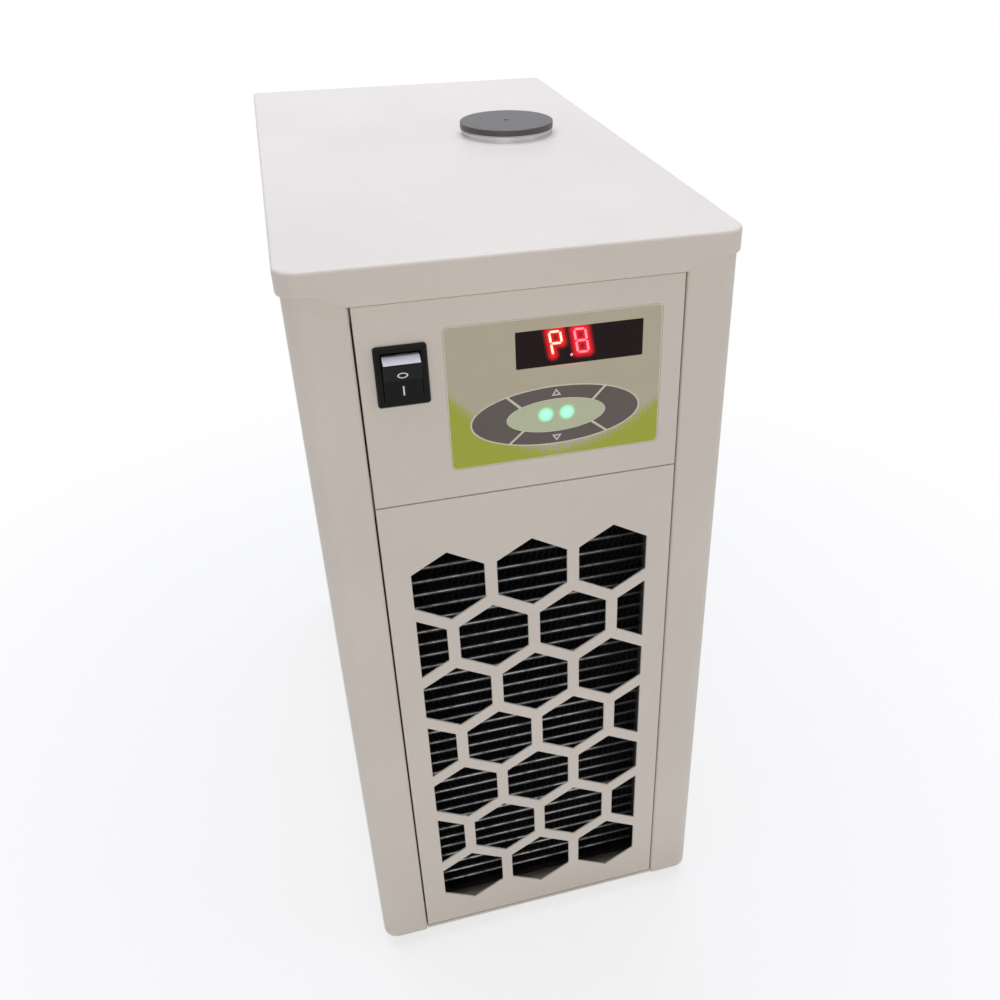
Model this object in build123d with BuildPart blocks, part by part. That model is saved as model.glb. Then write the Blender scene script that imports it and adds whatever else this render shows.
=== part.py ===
from build123d import *
from math import cos, pi, radians, sin, sqrt
import os

os.makedirs("parts", exist_ok=True)

# A small upright recirculating chiller, in millimetres. X runs to the right as one faces the front,
# Y to the back and Z up. The origin is on the floor, under the middle of the whole unit.

# Cabinet
body_width = 219.0
body_depth = 404.0
body_height = 472.0
sheet = 1.2
tray_sheet = 1.5
corner_radius = 10.0
fold_radius = 1.6
column_width = 28.35
flange_depth = 12.0
rear_flange = 14.0
fit_gap = 0.3
foot_height = 12.0

rail_height = 24.0
rail_lip = 6.0
tray_flange = 12.0

# Top cover
cover_overhang = 2.0
cover_front_overhang = 1.5
cover_skirt = 12.3
cover_front_skirt = 18.1
cover_slope = 14.5
cover_edge = 1.8
cover_hem = 0.7

# Front panels
panel_gap = 0.9
seam_gap = 0.6
seam_height = 345.2
grille_foot = 3.9
tray_lip = 3.3
control_sheet = 2.0
grille_sheet = 1.2
hexagon_edge = 0.3

# Honeycomb, pointy side up
hexagon_flats = 39.6
hexagon_pitch = 46.5
row_pitch = 40.75
row_count = 7
top_row_height = 289.0
honeycomb_half_width = 66.3

# Keypad film and display
film_switch_gap = 7.8
film_height = 77.1
film_side_margin = 11.05
film_top_margin = 14.7
film_sheet = 0.4
film_pocket = 0.5
film_radius = 3.0
window_width = 64.3
window_height = 19.1
window_side_margin = 10.2
window_top_margin = 6.8
window_gap = 0.2
digit_block_width = 50.4
digit_block_height = 19.0
board_sheet = 1.6
board_depth = 10.0
board_margin = 1.5
spacer_diameter = 6.0
spacer_inset = 5.0

# Keys and lamps
key_offset_x = -0.1
key_foot_margin = 23.6
side_key_reach = 33.5
upper_key_reach = 12.8
key_hole_diameter = 8.0
key_body = 6.0
key_body_depth = 3.5
plunger_diameter = 3.4
plunger_gap = 0.1
plunger_engagement = 1.2
plunger_travel = 0.25
lamp_pitch = 11.0
lamp_count = 4
lamp_rise = 0.9
lamp_diameter = 5.0
lamp_gap = 0.2

# Power switch
bezel_width = 25.1
bezel_height = 31.1
bezel_sheet = 1.8
bezel_radius = 1.6
switch_side_margin = 7.35
switch_top_margin = 20.4
switch_body_width = 22.2
switch_body_height = 28.4
switch_body_depth = 24.0
switch_pocket_depth = 14.0
rocker_width = 18.2
rocker_side_gap = 0.35
rocker_opening_height = 25.0
rocker_half_length = 10.5
rocker_face_reach = 9.0
rocker_tail = 1.3
rocker_tail_reach = 1.5
rocker_root_half = 6.0
rocker_root_reach = 4.0
rocker_swing = 12.0
pivot_depth = 4.0
pivot_diameter = 3.0
pivot_fit = 0.05
pivot_pin = 1.15
blade_width = 6.3
blade_sheet = 0.8
blade_length = 10.0

# Filler neck and cap
filler_x = 44.0
filler_depth = 225.0
neck_bore = 44.0
neck_wall = 3.0
neck_ring_diameter = 59.0
neck_ring_height = 3.3
neck_groove = 0.5
gasket_height = 0.8
gasket_inset = 0.5
cap_diameter = 59.8
cap_height = 3.7
cap_spigot_length = 12.0
cap_spigot_gap = 0.3
cap_dimple = 3.0
cap_dimple_depth = 0.3
cap_edge = 0.5

# Reservoir
tank_width = 106.0
tank_length = 170.0
tank_depth = 140.0
tank_headroom = 44.6
tank_wall = 1.0
tank_radius = 12.0
tank_lid_sheet = 1.5
tank_lid_margin = 6.0
collar_wall = 1.5
collar_height = 12.0
insulation = 8.0
insulation_top_gap = 0.3
stub_diameter = 12.0
stub_bore = 9.0
shelf_clearance = 3.5
shelf_depth = 126.0
shelf_flange = 12.0
shelf_hole_gap = 2.0

# Evaporator coil
coil_tube = 8.0
coil_bore = 6.4
coil_headroom = 49.0
coil_run_count = 7
coil_bend = 10.0
coil_inset = 18.0
coil_left_inset = 14.0
coil_return_inset = 30.0
coil_right_inset = 12.0
coil_foot = 24.0
riser_height = 5.0
probe_diameter = 5.0
probe_length = 120.0
probe_head = 12.0
probe_head_height = 8.0
probe_inset = 18.0

# Condenser
core_depth = 18.0
core_thickness = 20.0
core_half_width = 70.0
core_foot = 9.0
flat_tube = 2.0
flat_tube_pitch = 9.0
flat_tube_count = 35
side_plate = 1.5
header_diameter = 16.0
header_cap = 6.0
header_edge = 2.0
tube_setback = 1.0
fin_setback = 2.0

# Fan
shroud_half_width = 86.0
shroud_depth = 28.0
shroud_sheet = 1.0
shroud_collar = 12.0
orifice_diameter = 162.0
rotor_diameter = 156.0
hub_diameter = 52.0
hub_depth = 22.0
hub_wall = 3.0
hub_setback = 20.0
blade_count = 5
fan_blade = 2.0
root_chord = 27.0
root_pitch_angle = 42.0
tip_chord = 40.0
tip_pitch_angle = 24.0
fan_shaft_diameter = 6.0
fan_shaft_engagement = 18.0
shaft_fit = 0.05
fan_motor_diameter = 72.0
fan_motor_length = 44.0
fan_motor_edge = 5.0
fan_boss_diameter = 22.0
fan_boss_length = 5.0
bracket_sheet = 2.5
bracket_width = 26.0
bracket_half_height = 96.0
bracket_foot = 12.0
bracket_reach = 34.0
bracket_bend = 5.0

# Compressor
compressor_side_gap = 10.0
compressor_depth = 245.0
shell_width = 115.0
shell_length = 150.0
shell_end_flat = 15.0
shell_clearance = 5.0
shell_height = 152.0
shell_top_edge = 22.0
shell_bottom_edge = 12.0
shell_seam = 3.0
shell_seam_height = 4.0
shell_seam_level = 80.0
mount_plate = 2.5
mount_plate_width = 122.0
mount_plate_length = 172.0
mount_plate_radius = 12.0
mount_spacing_x = 98.0
mount_spacing_y = 148.0
grommet_diameter = 20.0
grommet_height = 11.0
grommet_collar = 3.0
grommet_neck = 15.0
grommet_bore = 6.6
mount_bolt = 6.0
bolt_head_diameter = 11.0
bolt_head_height = 4.0
pipe_stub_height = 14.0
suction_stub_offset_x = -28.0
suction_stub_offset_y = 47.0
discharge_stub_offset_x = -36.0
discharge_stub_offset_y = -42.0

# Refrigerant pipes
suction_diameter = 8.0
suction_bore = 6.4
suction_bend = 10.0
discharge_diameter = 6.0
discharge_bore = 4.6
pipe_bend = 7.0
pipe_wall_gap = 7.3
discharge_rise = 8.0
discharge_turn = 26.0
header_inlet_height = 300.0
header_outlet_height = 30.0
drier_x = 95.0
drier_depth = 120.0
drier_diameter = 20.0
drier_length = 82.0
drier_foot = 62.0
drier_shoulder = 5.0
capillary_diameter = 2.4
capillary_bend = 8.0
pipe_over_lid = 18.0
capillary_over_lid = 16.0

# Pump and water circuit
pump_x = 62.0
pump_height = 60.0
pump_depth = 204.0
pump_head_diameter = 60.0
pump_head_length = 24.0
chamber_diameter = 44.0
chamber_length = 13.0
impeller_diameter = 40.0
impeller_disc = 2.5
impeller_side_gap = 1.0
vane_height = 7.0
vane_sheet = 1.6
vane_count = 6
vane_inner = 8.0
vane_outer = 18.5
pump_shaft_diameter = 5.0
pump_shaft_engagement = 15.0
pump_motor_diameter = 54.0
pump_motor_length = 62.0
pump_motor_edge = 4.0
pump_foot_width = 46.0
pump_foot_length = 40.0
pump_nose = 12.0
pump_outlet_rise = 18.0
hose_wall = 2.5
hose_fit = 0.1
hose_overlap = 10.0
hose_bend = 20.0
suction_hose_bend = 15.0
tank_outlet_inset = 28.0
drain_x = 25.0
drain_height = 34.0
tank_drain_inset = 10.0
stub_length = 12.0
supply_height = 150.0
return_height = 245.0

# Hose ports and drain valve
port_reach = 20.0
port_stub_diameter = 20.9
port_hexagon = 27.0
port_hexagon_height = 6.0
port_bore = 8.0
port_edge = 0.6
port_tail = 24.0
port_hole_gap = 0.3
port_inner_flange = 26.0
port_inner_flange_height = 4.0
valve_diameter = 16.0
valve_reach = 17.0
valve_spigot = 10.0
valve_spigot_length = 6.0
valve_body_flat = 4.0
valve_stem_depth = 8.0
stem_diameter = 4.0
stem_length = 5.0
stem_fit = 0.05
lever_length = 24.0
lever_width = 7.0
lever_sheet = 2.5
lever_hub = 11.0
lever_hub_height = 4.0

# Mains inlet
inlet_x = -72.0
inlet_height = 56.0
inlet_flange_width = 50.0
inlet_flange_height = 25.0
inlet_flange = 2.5
inlet_body_width = 28.0
inlet_body_height = 20.4
inlet_body_depth = 20.0
inlet_cavity_width = 24.6
inlet_cavity_height = 16.8
inlet_cavity_depth = 16.0
inlet_corner = 3.0
pin_width = 2.0
pin_height = 4.0
pin_length = 13.0
pin_tab = 8.0
pin_spread = 14.0
pin_drop = 2.0
pin_fit = 0.05

# Back panel
vent_length = 50.0
vent_width = 5.0
vent_pitch_x = 58.0
vent_pitch_z = 12.0
vent_rows = 8
vent_x = -38.0
vent_lower_height = 145.0
vent_upper_height = 330.0
back_inset = 0.5

# Screws and feet
screw_diameter = 3.8
screw_hole = 4.4
screw_head = 7.6
screw_head_height = 2.6
screw_length = 9.0
screw_inset = 7.0
screw_rows = 4
screw_row_pitch = 142.0
screw_row_foot = 22.0
foot_top_diameter = 26.0
foot_edge = 1.5
foot_recess = 10.0
foot_inset_x = 28.0
foot_inset_y = 48.0

# Control board
control_board_width = 70.0
control_board_length = 130.0
control_board_x = -64.0
control_board_depth = 205.0
transformer_size = 40.0
transformer_height = 36.0
transformer_edge = 2.5
capacitor_diameter = 16.0
capacitor_height = 26.0
relay_width = 16.0
relay_length = 22.0
relay_height = 18.0
relay_pitch = 26.0

# Places that follow from the sizes above
half_width = body_width / 2
opening_half = half_width - column_width
base_z = foot_height
top_z = base_z + body_height
under_cover_z = top_z - sheet
swing = radians(rocker_swing)
rocker_reach = rocker_face_reach * cos(swing) + rocker_half_length * sin(swing) - pivot_depth
front_y = (rocker_reach - body_depth - port_reach) / 2
back_y = front_y + body_depth
side_rear_y = back_y - sheet
seam_z = base_z + seam_height
tray_top_z = base_z + tray_sheet
inner_half = half_width - sheet


def facing(depth):
    """Plane parallel to the front face and this far behind it, with X and Z as its axes."""
    return Plane.XZ.offset(-(front_y + depth))


def level(height):
    """Horizontal plane this far above the cabinet's lower edge."""
    return Plane.XY.offset(base_z + height)


def bent_tube(points, bend, outer, bore):
    """Tube of the given diameters along a run of straight lines joined by arcs."""
    with BuildPart() as tube:
        with BuildLine() as route:
            FilletPolyline(*points, radius=bend)
        with BuildSketch(Plane(origin=route.line @ 0, z_dir=route.line % 0)):
            Circle(outer / 2)
            Circle(bore / 2, mode=Mode.SUBTRACT)
        sweep(path=route.line)
    return tube.part


def save(piece, name):
    """Label a finished piece and write it as the STEP file of its own name."""
    piece.label = name
    export_step(piece, f"parts/{name}.step")


# Side panels, each folded round the front corner into a column with a return flange
with BuildPart() as left_side_panel:
    with BuildSketch(level(0)):
        with BuildLine():
            FilletPolyline(
                (-half_width + rear_flange, side_rear_y),
                (-half_width, side_rear_y),
                (-half_width, front_y),
                (-opening_half, front_y),
                (-opening_half, front_y + flange_depth),
                radius=[fold_radius, corner_radius, fold_radius],
            )
            offset(amount=sheet, side=Side.LEFT)
        make_face()
    extrude(amount=under_cover_z - base_z)
    with BuildSketch(Plane.XZ.offset(-side_rear_y)):
        with Locations((-half_width + screw_inset, base_z + screw_row_foot)):
            with Locations(*[(0, row * screw_row_pitch) for row in range(screw_rows)]):
                Circle(screw_hole / 2)
    extrude(amount=sheet, mode=Mode.SUBTRACT)
save(left_side_panel.part, "left_side_panel")

with BuildPart() as right_side_panel:
    mirror(left_side_panel.part, about=Plane.YZ)
save(right_side_panel.part, "right_side_panel")

# Base tray, with a tongue between the columns that ends in the rounded front lip
tray_half = inner_half - fit_gap
tray_front_y = front_y + flange_depth + fit_gap
tray_rear_y = side_rear_y - sheet - fit_gap
foot_x = half_width - foot_inset_x
foot_front_y = front_y + foot_inset_y
foot_rear_y = back_y - foot_inset_y
foot_mid_y = (foot_front_y + foot_rear_y) / 2
compressor_x = -half_width + compressor_side_gap + shell_width / 2
compressor_y = front_y + compressor_depth
with BuildPart() as base_tray:
    with BuildSketch(level(0)):
        with Locations((0, (tray_front_y + tray_rear_y) / 2)):
            Rectangle(2 * tray_half, tray_rear_y - tray_front_y)
    extrude(amount=tray_flange)
    with BuildSketch(level(tray_sheet)):
        with Locations((0, (tray_front_y + tray_rear_y - tray_sheet) / 2)):
            Rectangle(2 * (tray_half - tray_sheet), tray_rear_y - tray_front_y - tray_sheet)
    extrude(amount=tray_flange, mode=Mode.SUBTRACT)
    with BuildSketch(Plane.YZ):
        with BuildLine():
            FilletPolyline(
                (tray_front_y, base_z),
                (front_y, base_z),
                (front_y, base_z + tray_lip),
                radius=tray_sheet + fit_gap,
            )
            offset(amount=tray_sheet, side=Side.RIGHT)
        make_face()
    extrude(amount=opening_half - fit_gap, both=True)
    with BuildSketch(level(0)):
        with Locations((0, foot_mid_y)):
            with GridLocations(2 * foot_x, foot_rear_y - foot_front_y, 2, 2):
                Circle(screw_hole / 2)
        with Locations((compressor_x, compressor_y)):
            with GridLocations(mount_spacing_x, mount_spacing_y, 2, 2):
                Circle(grommet_bore / 2)
    extrude(amount=tray_sheet, mode=Mode.SUBTRACT)
save(base_tray.part, "base_tray")

# Feet, each with a recess for its screw head
foot_step = foot_height - screw_length + tray_sheet + screw_head_height
with BuildPart() as rubber_feet:
    with Locations((0, foot_mid_y, foot_height)):
        with GridLocations(2 * foot_x, foot_rear_y - foot_front_y, 2, 2):
            Cylinder(foot_top_diameter / 2, foot_height, align=(Align.CENTER, Align.CENTER, Align.MAX))
    chamfer(rubber_feet.edges().group_by(Axis.Z)[0], foot_edge)
    with Locations(Location((0, foot_mid_y, 0), (180, 0, 0))):
        with GridLocations(2 * foot_x, foot_rear_y - foot_front_y, 2, 2):
            CounterBoreHole(screw_hole / 2, foot_recess / 2, foot_step)
save(rubber_feet.part, "rubber_feet")

# Top cover, a shell whose skirt reaches lower between the columns
cover_front_y = front_y - cover_front_overhang
cover_rear_y = back_y + cover_overhang
cover_length = cover_rear_y - cover_front_y
cover_mid_y = (cover_front_y + cover_rear_y) / 2
cover_width = body_width + 2 * cover_overhang
filler_y = front_y + filler_depth
neck_outer = neck_bore + 2 * neck_wall
with BuildPart() as top_cover:
    with BuildSketch(Plane.XY.offset(top_z)) as cover_outline:
        with Locations((0, cover_mid_y)):
            Rectangle(cover_width, cover_length)
        fillet(cover_outline.vertices().group_by(Axis.Y)[0], corner_radius + cover_overhang)
        fillet(cover_outline.vertices().group_by(Axis.Y)[-1], fold_radius + cover_overhang)
    extrude(amount=-cover_skirt)
    fillet(top_cover.faces().sort_by(Axis.Z)[-1].edges(), cover_edge)
    fillet(top_cover.faces().sort_by(Axis.Z)[0].edges(), cover_hem)
    with BuildSketch(Plane.XY.offset(under_cover_z)):
        add(cover_outline.sketch.moved(Location((0, 0, -sheet))))
        offset(amount=-sheet)
    extrude(amount=-cover_skirt, mode=Mode.SUBTRACT)
    with BuildSketch(Plane.XZ.offset(-cover_front_y)):
        with BuildLine():
            Polyline(
                (-opening_half - cover_slope, top_z - cover_skirt + cover_hem + sheet),
                (-opening_half - cover_slope, top_z - cover_skirt),
                (-opening_half, top_z - cover_front_skirt),
                (opening_half, top_z - cover_front_skirt),
                (opening_half + cover_slope, top_z - cover_skirt),
                (opening_half + cover_slope, top_z - cover_skirt + cover_hem + sheet),
                close=True,
            )
        make_face()
    extrude(amount=-sheet)
    with BuildSketch(Plane.XY.offset(under_cover_z)):
        with Locations((filler_x, filler_y)):
            Circle(neck_outer / 2 + fit_gap)
    extrude(amount=sheet, mode=Mode.SUBTRACT)
save(top_cover.part, "top_cover")

# Control panel, with a pocket for the film and openings for window, keys, lamps and switch
panel_half = opening_half - panel_gap
panel_top_z = top_z - cover_front_skirt - seam_gap
control_foot_z = seam_z + seam_gap / 2
control_mid_z = (panel_top_z + control_foot_z) / 2
switch_x = -panel_half + switch_side_margin + bezel_width / 2
switch_z = panel_top_z - switch_top_margin - bezel_height / 2
film_left_x = switch_x + bezel_width / 2 + film_switch_gap
film_right_x = panel_half - film_side_margin
film_width = film_right_x - film_left_x
film_x = (film_left_x + film_right_x) / 2
film_z = panel_top_z - film_top_margin - film_height / 2
window_x = film_right_x - window_side_margin - window_width / 2
window_z = film_z + film_height / 2 - window_top_margin - window_height / 2
key_x = film_x + key_offset_x
key_z = film_z - film_height / 2 + key_foot_margin
lamp_z = key_z + lamp_rise
key_places = {
    "left": (key_x - side_key_reach, key_z),
    "right": (key_x + side_key_reach, key_z),
    "up": (key_x, key_z + upper_key_reach),
    "down": (key_x, key_z - upper_key_reach),
}
lamp_places = [(key_x + (spot - (lamp_count - 1) / 2) * lamp_pitch, lamp_z) for spot in range(lamp_count)]
with BuildPart() as control_panel:
    with BuildSketch(facing(0)):
        with Locations((0, control_mid_z)):
            Rectangle(2 * panel_half, panel_top_z - control_foot_z)
    extrude(amount=-flange_depth)
    with BuildSketch(facing(control_sheet)):
        with Locations((0, control_mid_z)):
            Rectangle(2 * (panel_half - sheet), panel_top_z - control_foot_z - 2 * sheet)
    extrude(amount=-flange_depth, mode=Mode.SUBTRACT)
    with BuildSketch(facing(0)):
        with Locations((film_x, film_z)):
            RectangleRounded(film_width + 2 * window_gap, film_height + 2 * window_gap, film_radius)
    extrude(amount=-film_pocket, mode=Mode.SUBTRACT)
    with BuildSketch(facing(0)):
        with Locations((window_x, window_z)):
            Rectangle(window_width + 2 * window_gap, window_height + 2 * window_gap)
        with Locations((switch_x, switch_z)):
            Rectangle(switch_body_width + 2 * window_gap, switch_body_height + 2 * window_gap)
        with Locations(*key_places.values()):
            Circle(key_hole_diameter / 2)
        with Locations(*lamp_places):
            Circle(lamp_diameter / 2 + lamp_gap)
    extrude(amount=-control_sheet, mode=Mode.SUBTRACT)
    fillet(control_panel.faces().sort_by(Axis.Y)[0].outer_wire().edges(), sheet / 2)
save(control_panel.part, "control_panel")

# Grille panel, with whole and cut hexagons inside one upright field
grille_foot_z = base_z + grille_foot
grille_top_z = seam_z - seam_gap / 2
grille_mid_z = (grille_foot_z + grille_top_z) / 2
top_row_z = base_z + top_row_height
field_height = (row_count + 1) * row_pitch
field_mid_z = top_row_z - (row_count - 1) / 2 * row_pitch
hexagon_places = [
    ((column + (row % 2) / 2) * hexagon_pitch, top_row_z - row * row_pitch)
    for row in range(row_count)
    for column in range(-1 - row % 2, 2)
]
with BuildPart() as grille_panel:
    with BuildSketch(facing(0)):
        with Locations((0, grille_mid_z)):
            Rectangle(2 * panel_half, grille_top_z - grille_foot_z)
    extrude(amount=-flange_depth)
    with BuildSketch(facing(grille_sheet)):
        with Locations((0, grille_mid_z)):
            Rectangle(2 * (panel_half - sheet), grille_top_z - grille_foot_z - 2 * sheet)
    extrude(amount=-flange_depth, mode=Mode.SUBTRACT)
    with BuildSketch(facing(0)):
        with Locations(*hexagon_places):
            RegularPolygon(hexagon_flats / 2, 6, major_radius=False, rotation=30)
        with Locations((0, field_mid_z)):
            Rectangle(2 * honeycomb_half_width, field_height, mode=Mode.INTERSECT)
    extrude(amount=-grille_sheet, mode=Mode.SUBTRACT)
    front_face = grille_panel.faces().sort_by(Axis.Y)[0]
    chamfer(front_face.inner_wires().edges(), hexagon_edge)
    fillet(grille_panel.faces().sort_by(Axis.Y)[0].outer_wire().edges(), sheet / 2)
save(grille_panel.part, "grille_panel")

# Cross rails behind the seam and under the cover, joining the two columns
rail_places = [seam_z, panel_top_z]
with BuildPart() as cross_rails:
    with BuildSketch(facing(flange_depth)):
        with Locations(*[(0, place) for place in rail_places]):
            Rectangle(2 * (opening_half + column_width / 2), rail_height)
    extrude(amount=-tray_sheet)
    with BuildSketch(facing(flange_depth)):
        with Locations(*[(0, place + rail_height / 2 - tray_sheet / 2) for place in rail_places]):
            Rectangle(2 * (opening_half + column_width / 2), tray_sheet)
    extrude(amount=-rail_lip)
save(cross_rails.part, "cross_rails")

# Keypad film with the window's opening, and the window that fills it
film_depth = film_pocket - film_sheet
with BuildPart() as keypad_film:
    with BuildSketch(facing(film_depth)):
        with Locations((film_x, film_z)):
            RectangleRounded(film_width, film_height, film_radius)
        with Locations((window_x, window_z)):
            Rectangle(window_width + 2 * window_gap, window_height + 2 * window_gap, mode=Mode.SUBTRACT)
    extrude(amount=-film_sheet)
save(keypad_film.part, "keypad_film")

with BuildPart() as display_window:
    with BuildSketch(facing(film_depth)):
        with Locations((window_x, window_z)):
            Rectangle(window_width, window_height)
    extrude(amount=-(control_sheet - film_depth))
save(display_window.part, "display_window")

# Display board and what is soldered to its face
board_width = film_width - 2 * board_margin
board_height = film_height - 2 * board_margin
spacer_x = board_width / 2 - spacer_inset
spacer_z = board_height / 2 - spacer_inset
with BuildPart() as display_board:
    with BuildSketch(facing(board_depth)):
        with Locations((film_x, film_z)):
            Rectangle(board_width, board_height)
    extrude(amount=-board_sheet)
save(display_board.part, "display_board")

with BuildPart() as display_module:
    with BuildSketch(facing(control_sheet)):
        with Locations((window_x, window_z)):
            Rectangle(digit_block_width, digit_block_height)
    extrude(amount=-(board_depth - control_sheet))
save(display_module.part, "display_module")

with BuildPart() as status_lamps:
    with BuildSketch(facing(board_depth)):
        with Locations(*lamp_places):
            Circle(lamp_diameter / 2)
    extrude(amount=board_depth - film_pocket - fit_gap)
    fillet(status_lamps.edges().group_by(Axis.Y)[0], lamp_diameter / 2 - lamp_gap)
save(status_lamps.part, "status_lamps")

plunger_seat = board_depth - key_body_depth
with BuildPart() as key_switches:
    with BuildSketch(facing(board_depth)):
        with Locations(*key_places.values()):
            Rectangle(key_body, key_body)
    extrude(amount=key_body_depth)
    with BuildSketch(facing(plunger_seat)):
        with Locations(*key_places.values()):
            Circle(plunger_diameter / 2 + plunger_gap)
    extrude(amount=-(plunger_engagement + 2 * plunger_travel), mode=Mode.SUBTRACT)
save(key_switches.part, "key_switches")

plunger_tip = film_pocket + fit_gap
for side, place in key_places.items():
    with BuildPart() as key_plunger:
        with BuildSketch(facing(plunger_tip)):
            with Locations(place):
                Circle(plunger_diameter / 2)
        extrude(amount=-(plunger_seat + plunger_engagement - plunger_tip))
        chamfer(key_plunger.edges().group_by(Axis.Y)[0], fit_gap)
    save(key_plunger.part, f"key_plunger_{side}")

# Power switch: housing with its bezel and blades, and the rocker, pressed at its lower end
with BuildPart() as switch_housing:
    with BuildSketch(facing(0)):
        with Locations((switch_x, switch_z)):
            RectangleRounded(bezel_width, bezel_height, bezel_radius)
    extrude(amount=bezel_sheet)
    chamfer(switch_housing.faces().sort_by(Axis.Y)[0].edges(), bezel_sheet / 2)
    with BuildSketch(facing(0)):
        with Locations((switch_x, switch_z)):
            Rectangle(switch_body_width, switch_body_height)
    extrude(amount=-switch_body_depth)
    with BuildSketch(facing(-bezel_sheet)):
        with Locations((switch_x, switch_z)):
            Rectangle(rocker_width + 2 * rocker_side_gap, rocker_opening_height)
    extrude(amount=-(bezel_sheet + switch_pocket_depth), mode=Mode.SUBTRACT)
    with BuildSketch(Plane.YZ.offset(switch_x)):
        with Locations((front_y + pivot_depth, switch_z)):
            Circle(pivot_diameter / 2 + pivot_fit)
    extrude(amount=rocker_width / 2 + pivot_pin + pivot_fit, both=True, mode=Mode.SUBTRACT)
    with BuildSketch(facing(switch_body_depth)):
        with Locations((switch_x, switch_z)):
            with GridLocations(switch_body_width / 2, switch_body_height / 2, 2, 2):
                Rectangle(blade_sheet, blade_width)
    extrude(amount=-blade_length)
save(switch_housing.part, "switch_housing")

rocker_plane = Plane(
    origin=(switch_x, front_y + pivot_depth, switch_z),
    x_dir=(0, -cos(swing), -sin(swing)),
    z_dir=(-1, 0, 0),
)
with BuildPart() as switch_rocker:
    with BuildSketch(rocker_plane):
        with BuildLine():
            Polyline(
                (rocker_face_reach, rocker_half_length),
                (rocker_face_reach - rocker_half_length * sin(swing) / cos(swing), 0),
                (rocker_face_reach, -rocker_half_length),
                (rocker_tail_reach, -rocker_half_length - rocker_tail),
                (-rocker_root_reach, -rocker_root_half),
                (-rocker_root_reach, rocker_root_half),
                (rocker_tail_reach, rocker_half_length + rocker_tail),
                close=True,
            )
        make_face()
    extrude(amount=rocker_width / 2, both=True)
    with BuildSketch(rocker_plane):
        Circle(pivot_diameter / 2)
    extrude(amount=rocker_width / 2 + pivot_pin, both=True)
save(switch_rocker.part, "switch_rocker")

# Filler neck, gasket and cap
neck_foot_z = under_cover_z - tank_headroom + tank_lid_sheet
ring_top_z = top_z + neck_ring_height
with BuildPart() as filler_neck:
    with BuildSketch(Plane.XY.offset(neck_foot_z)):
        with Locations((filler_x, filler_y)):
            Circle(neck_outer / 2)
    extrude(amount=ring_top_z - neck_foot_z)
    with BuildSketch(Plane.XY.offset(top_z)):
        with Locations((filler_x, filler_y)):
            Circle(neck_ring_diameter / 2)
    extrude(amount=neck_ring_height)
    with BuildSketch(Plane.XY.offset(top_z + (neck_ring_height - neck_groove) / 2)):
        with Locations((filler_x, filler_y)):
            Circle(neck_ring_diameter / 2)
            Circle(neck_ring_diameter / 2 - neck_groove, mode=Mode.SUBTRACT)
    extrude(amount=neck_groove, mode=Mode.SUBTRACT)
    with BuildSketch(Plane.XY.offset(neck_foot_z)):
        with Locations((filler_x, filler_y)):
            Circle(neck_bore / 2)
    extrude(amount=ring_top_z - neck_foot_z, mode=Mode.SUBTRACT)
save(filler_neck.part, "filler_neck")

with BuildPart() as cap_gasket:
    with BuildSketch(Plane.XY.offset(ring_top_z)):
        with Locations((filler_x, filler_y)):
            Circle(neck_ring_diameter / 2 - gasket_inset)
            Circle(neck_bore / 2 + cap_spigot_gap, mode=Mode.SUBTRACT)
    extrude(amount=gasket_height)
save(cap_gasket.part, "cap_gasket")

cap_foot_z = ring_top_z + gasket_height
with BuildPart() as filler_cap:
    with BuildSketch(Plane.XY.offset(cap_foot_z)):
        with Locations((filler_x, filler_y)):
            Circle(cap_diameter / 2)
    extrude(amount=cap_height)
    fillet(filler_cap.edges().group_by(Axis.Z)[-1], cap_edge)
    with BuildSketch(Plane.XY.offset(cap_foot_z)):
        with Locations((filler_x, filler_y)):
            Circle(neck_bore / 2 - cap_spigot_gap)
    extrude(amount=-cap_spigot_length)
    with BuildSketch(Plane.XY.offset(cap_foot_z - cap_spigot_length)):
        with Locations((filler_x, filler_y)):
            Circle(neck_bore / 2 - cap_spigot_gap - neck_wall)
    extrude(amount=cap_spigot_length, mode=Mode.SUBTRACT)
    with BuildSketch(Plane.XY.offset(cap_foot_z + cap_height)):
        with Locations((filler_x, filler_y)):
            Circle(cap_dimple / 2)
    extrude(amount=-cap_dimple_depth, mode=Mode.SUBTRACT)
save(filler_cap.part, "filler_cap")

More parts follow.
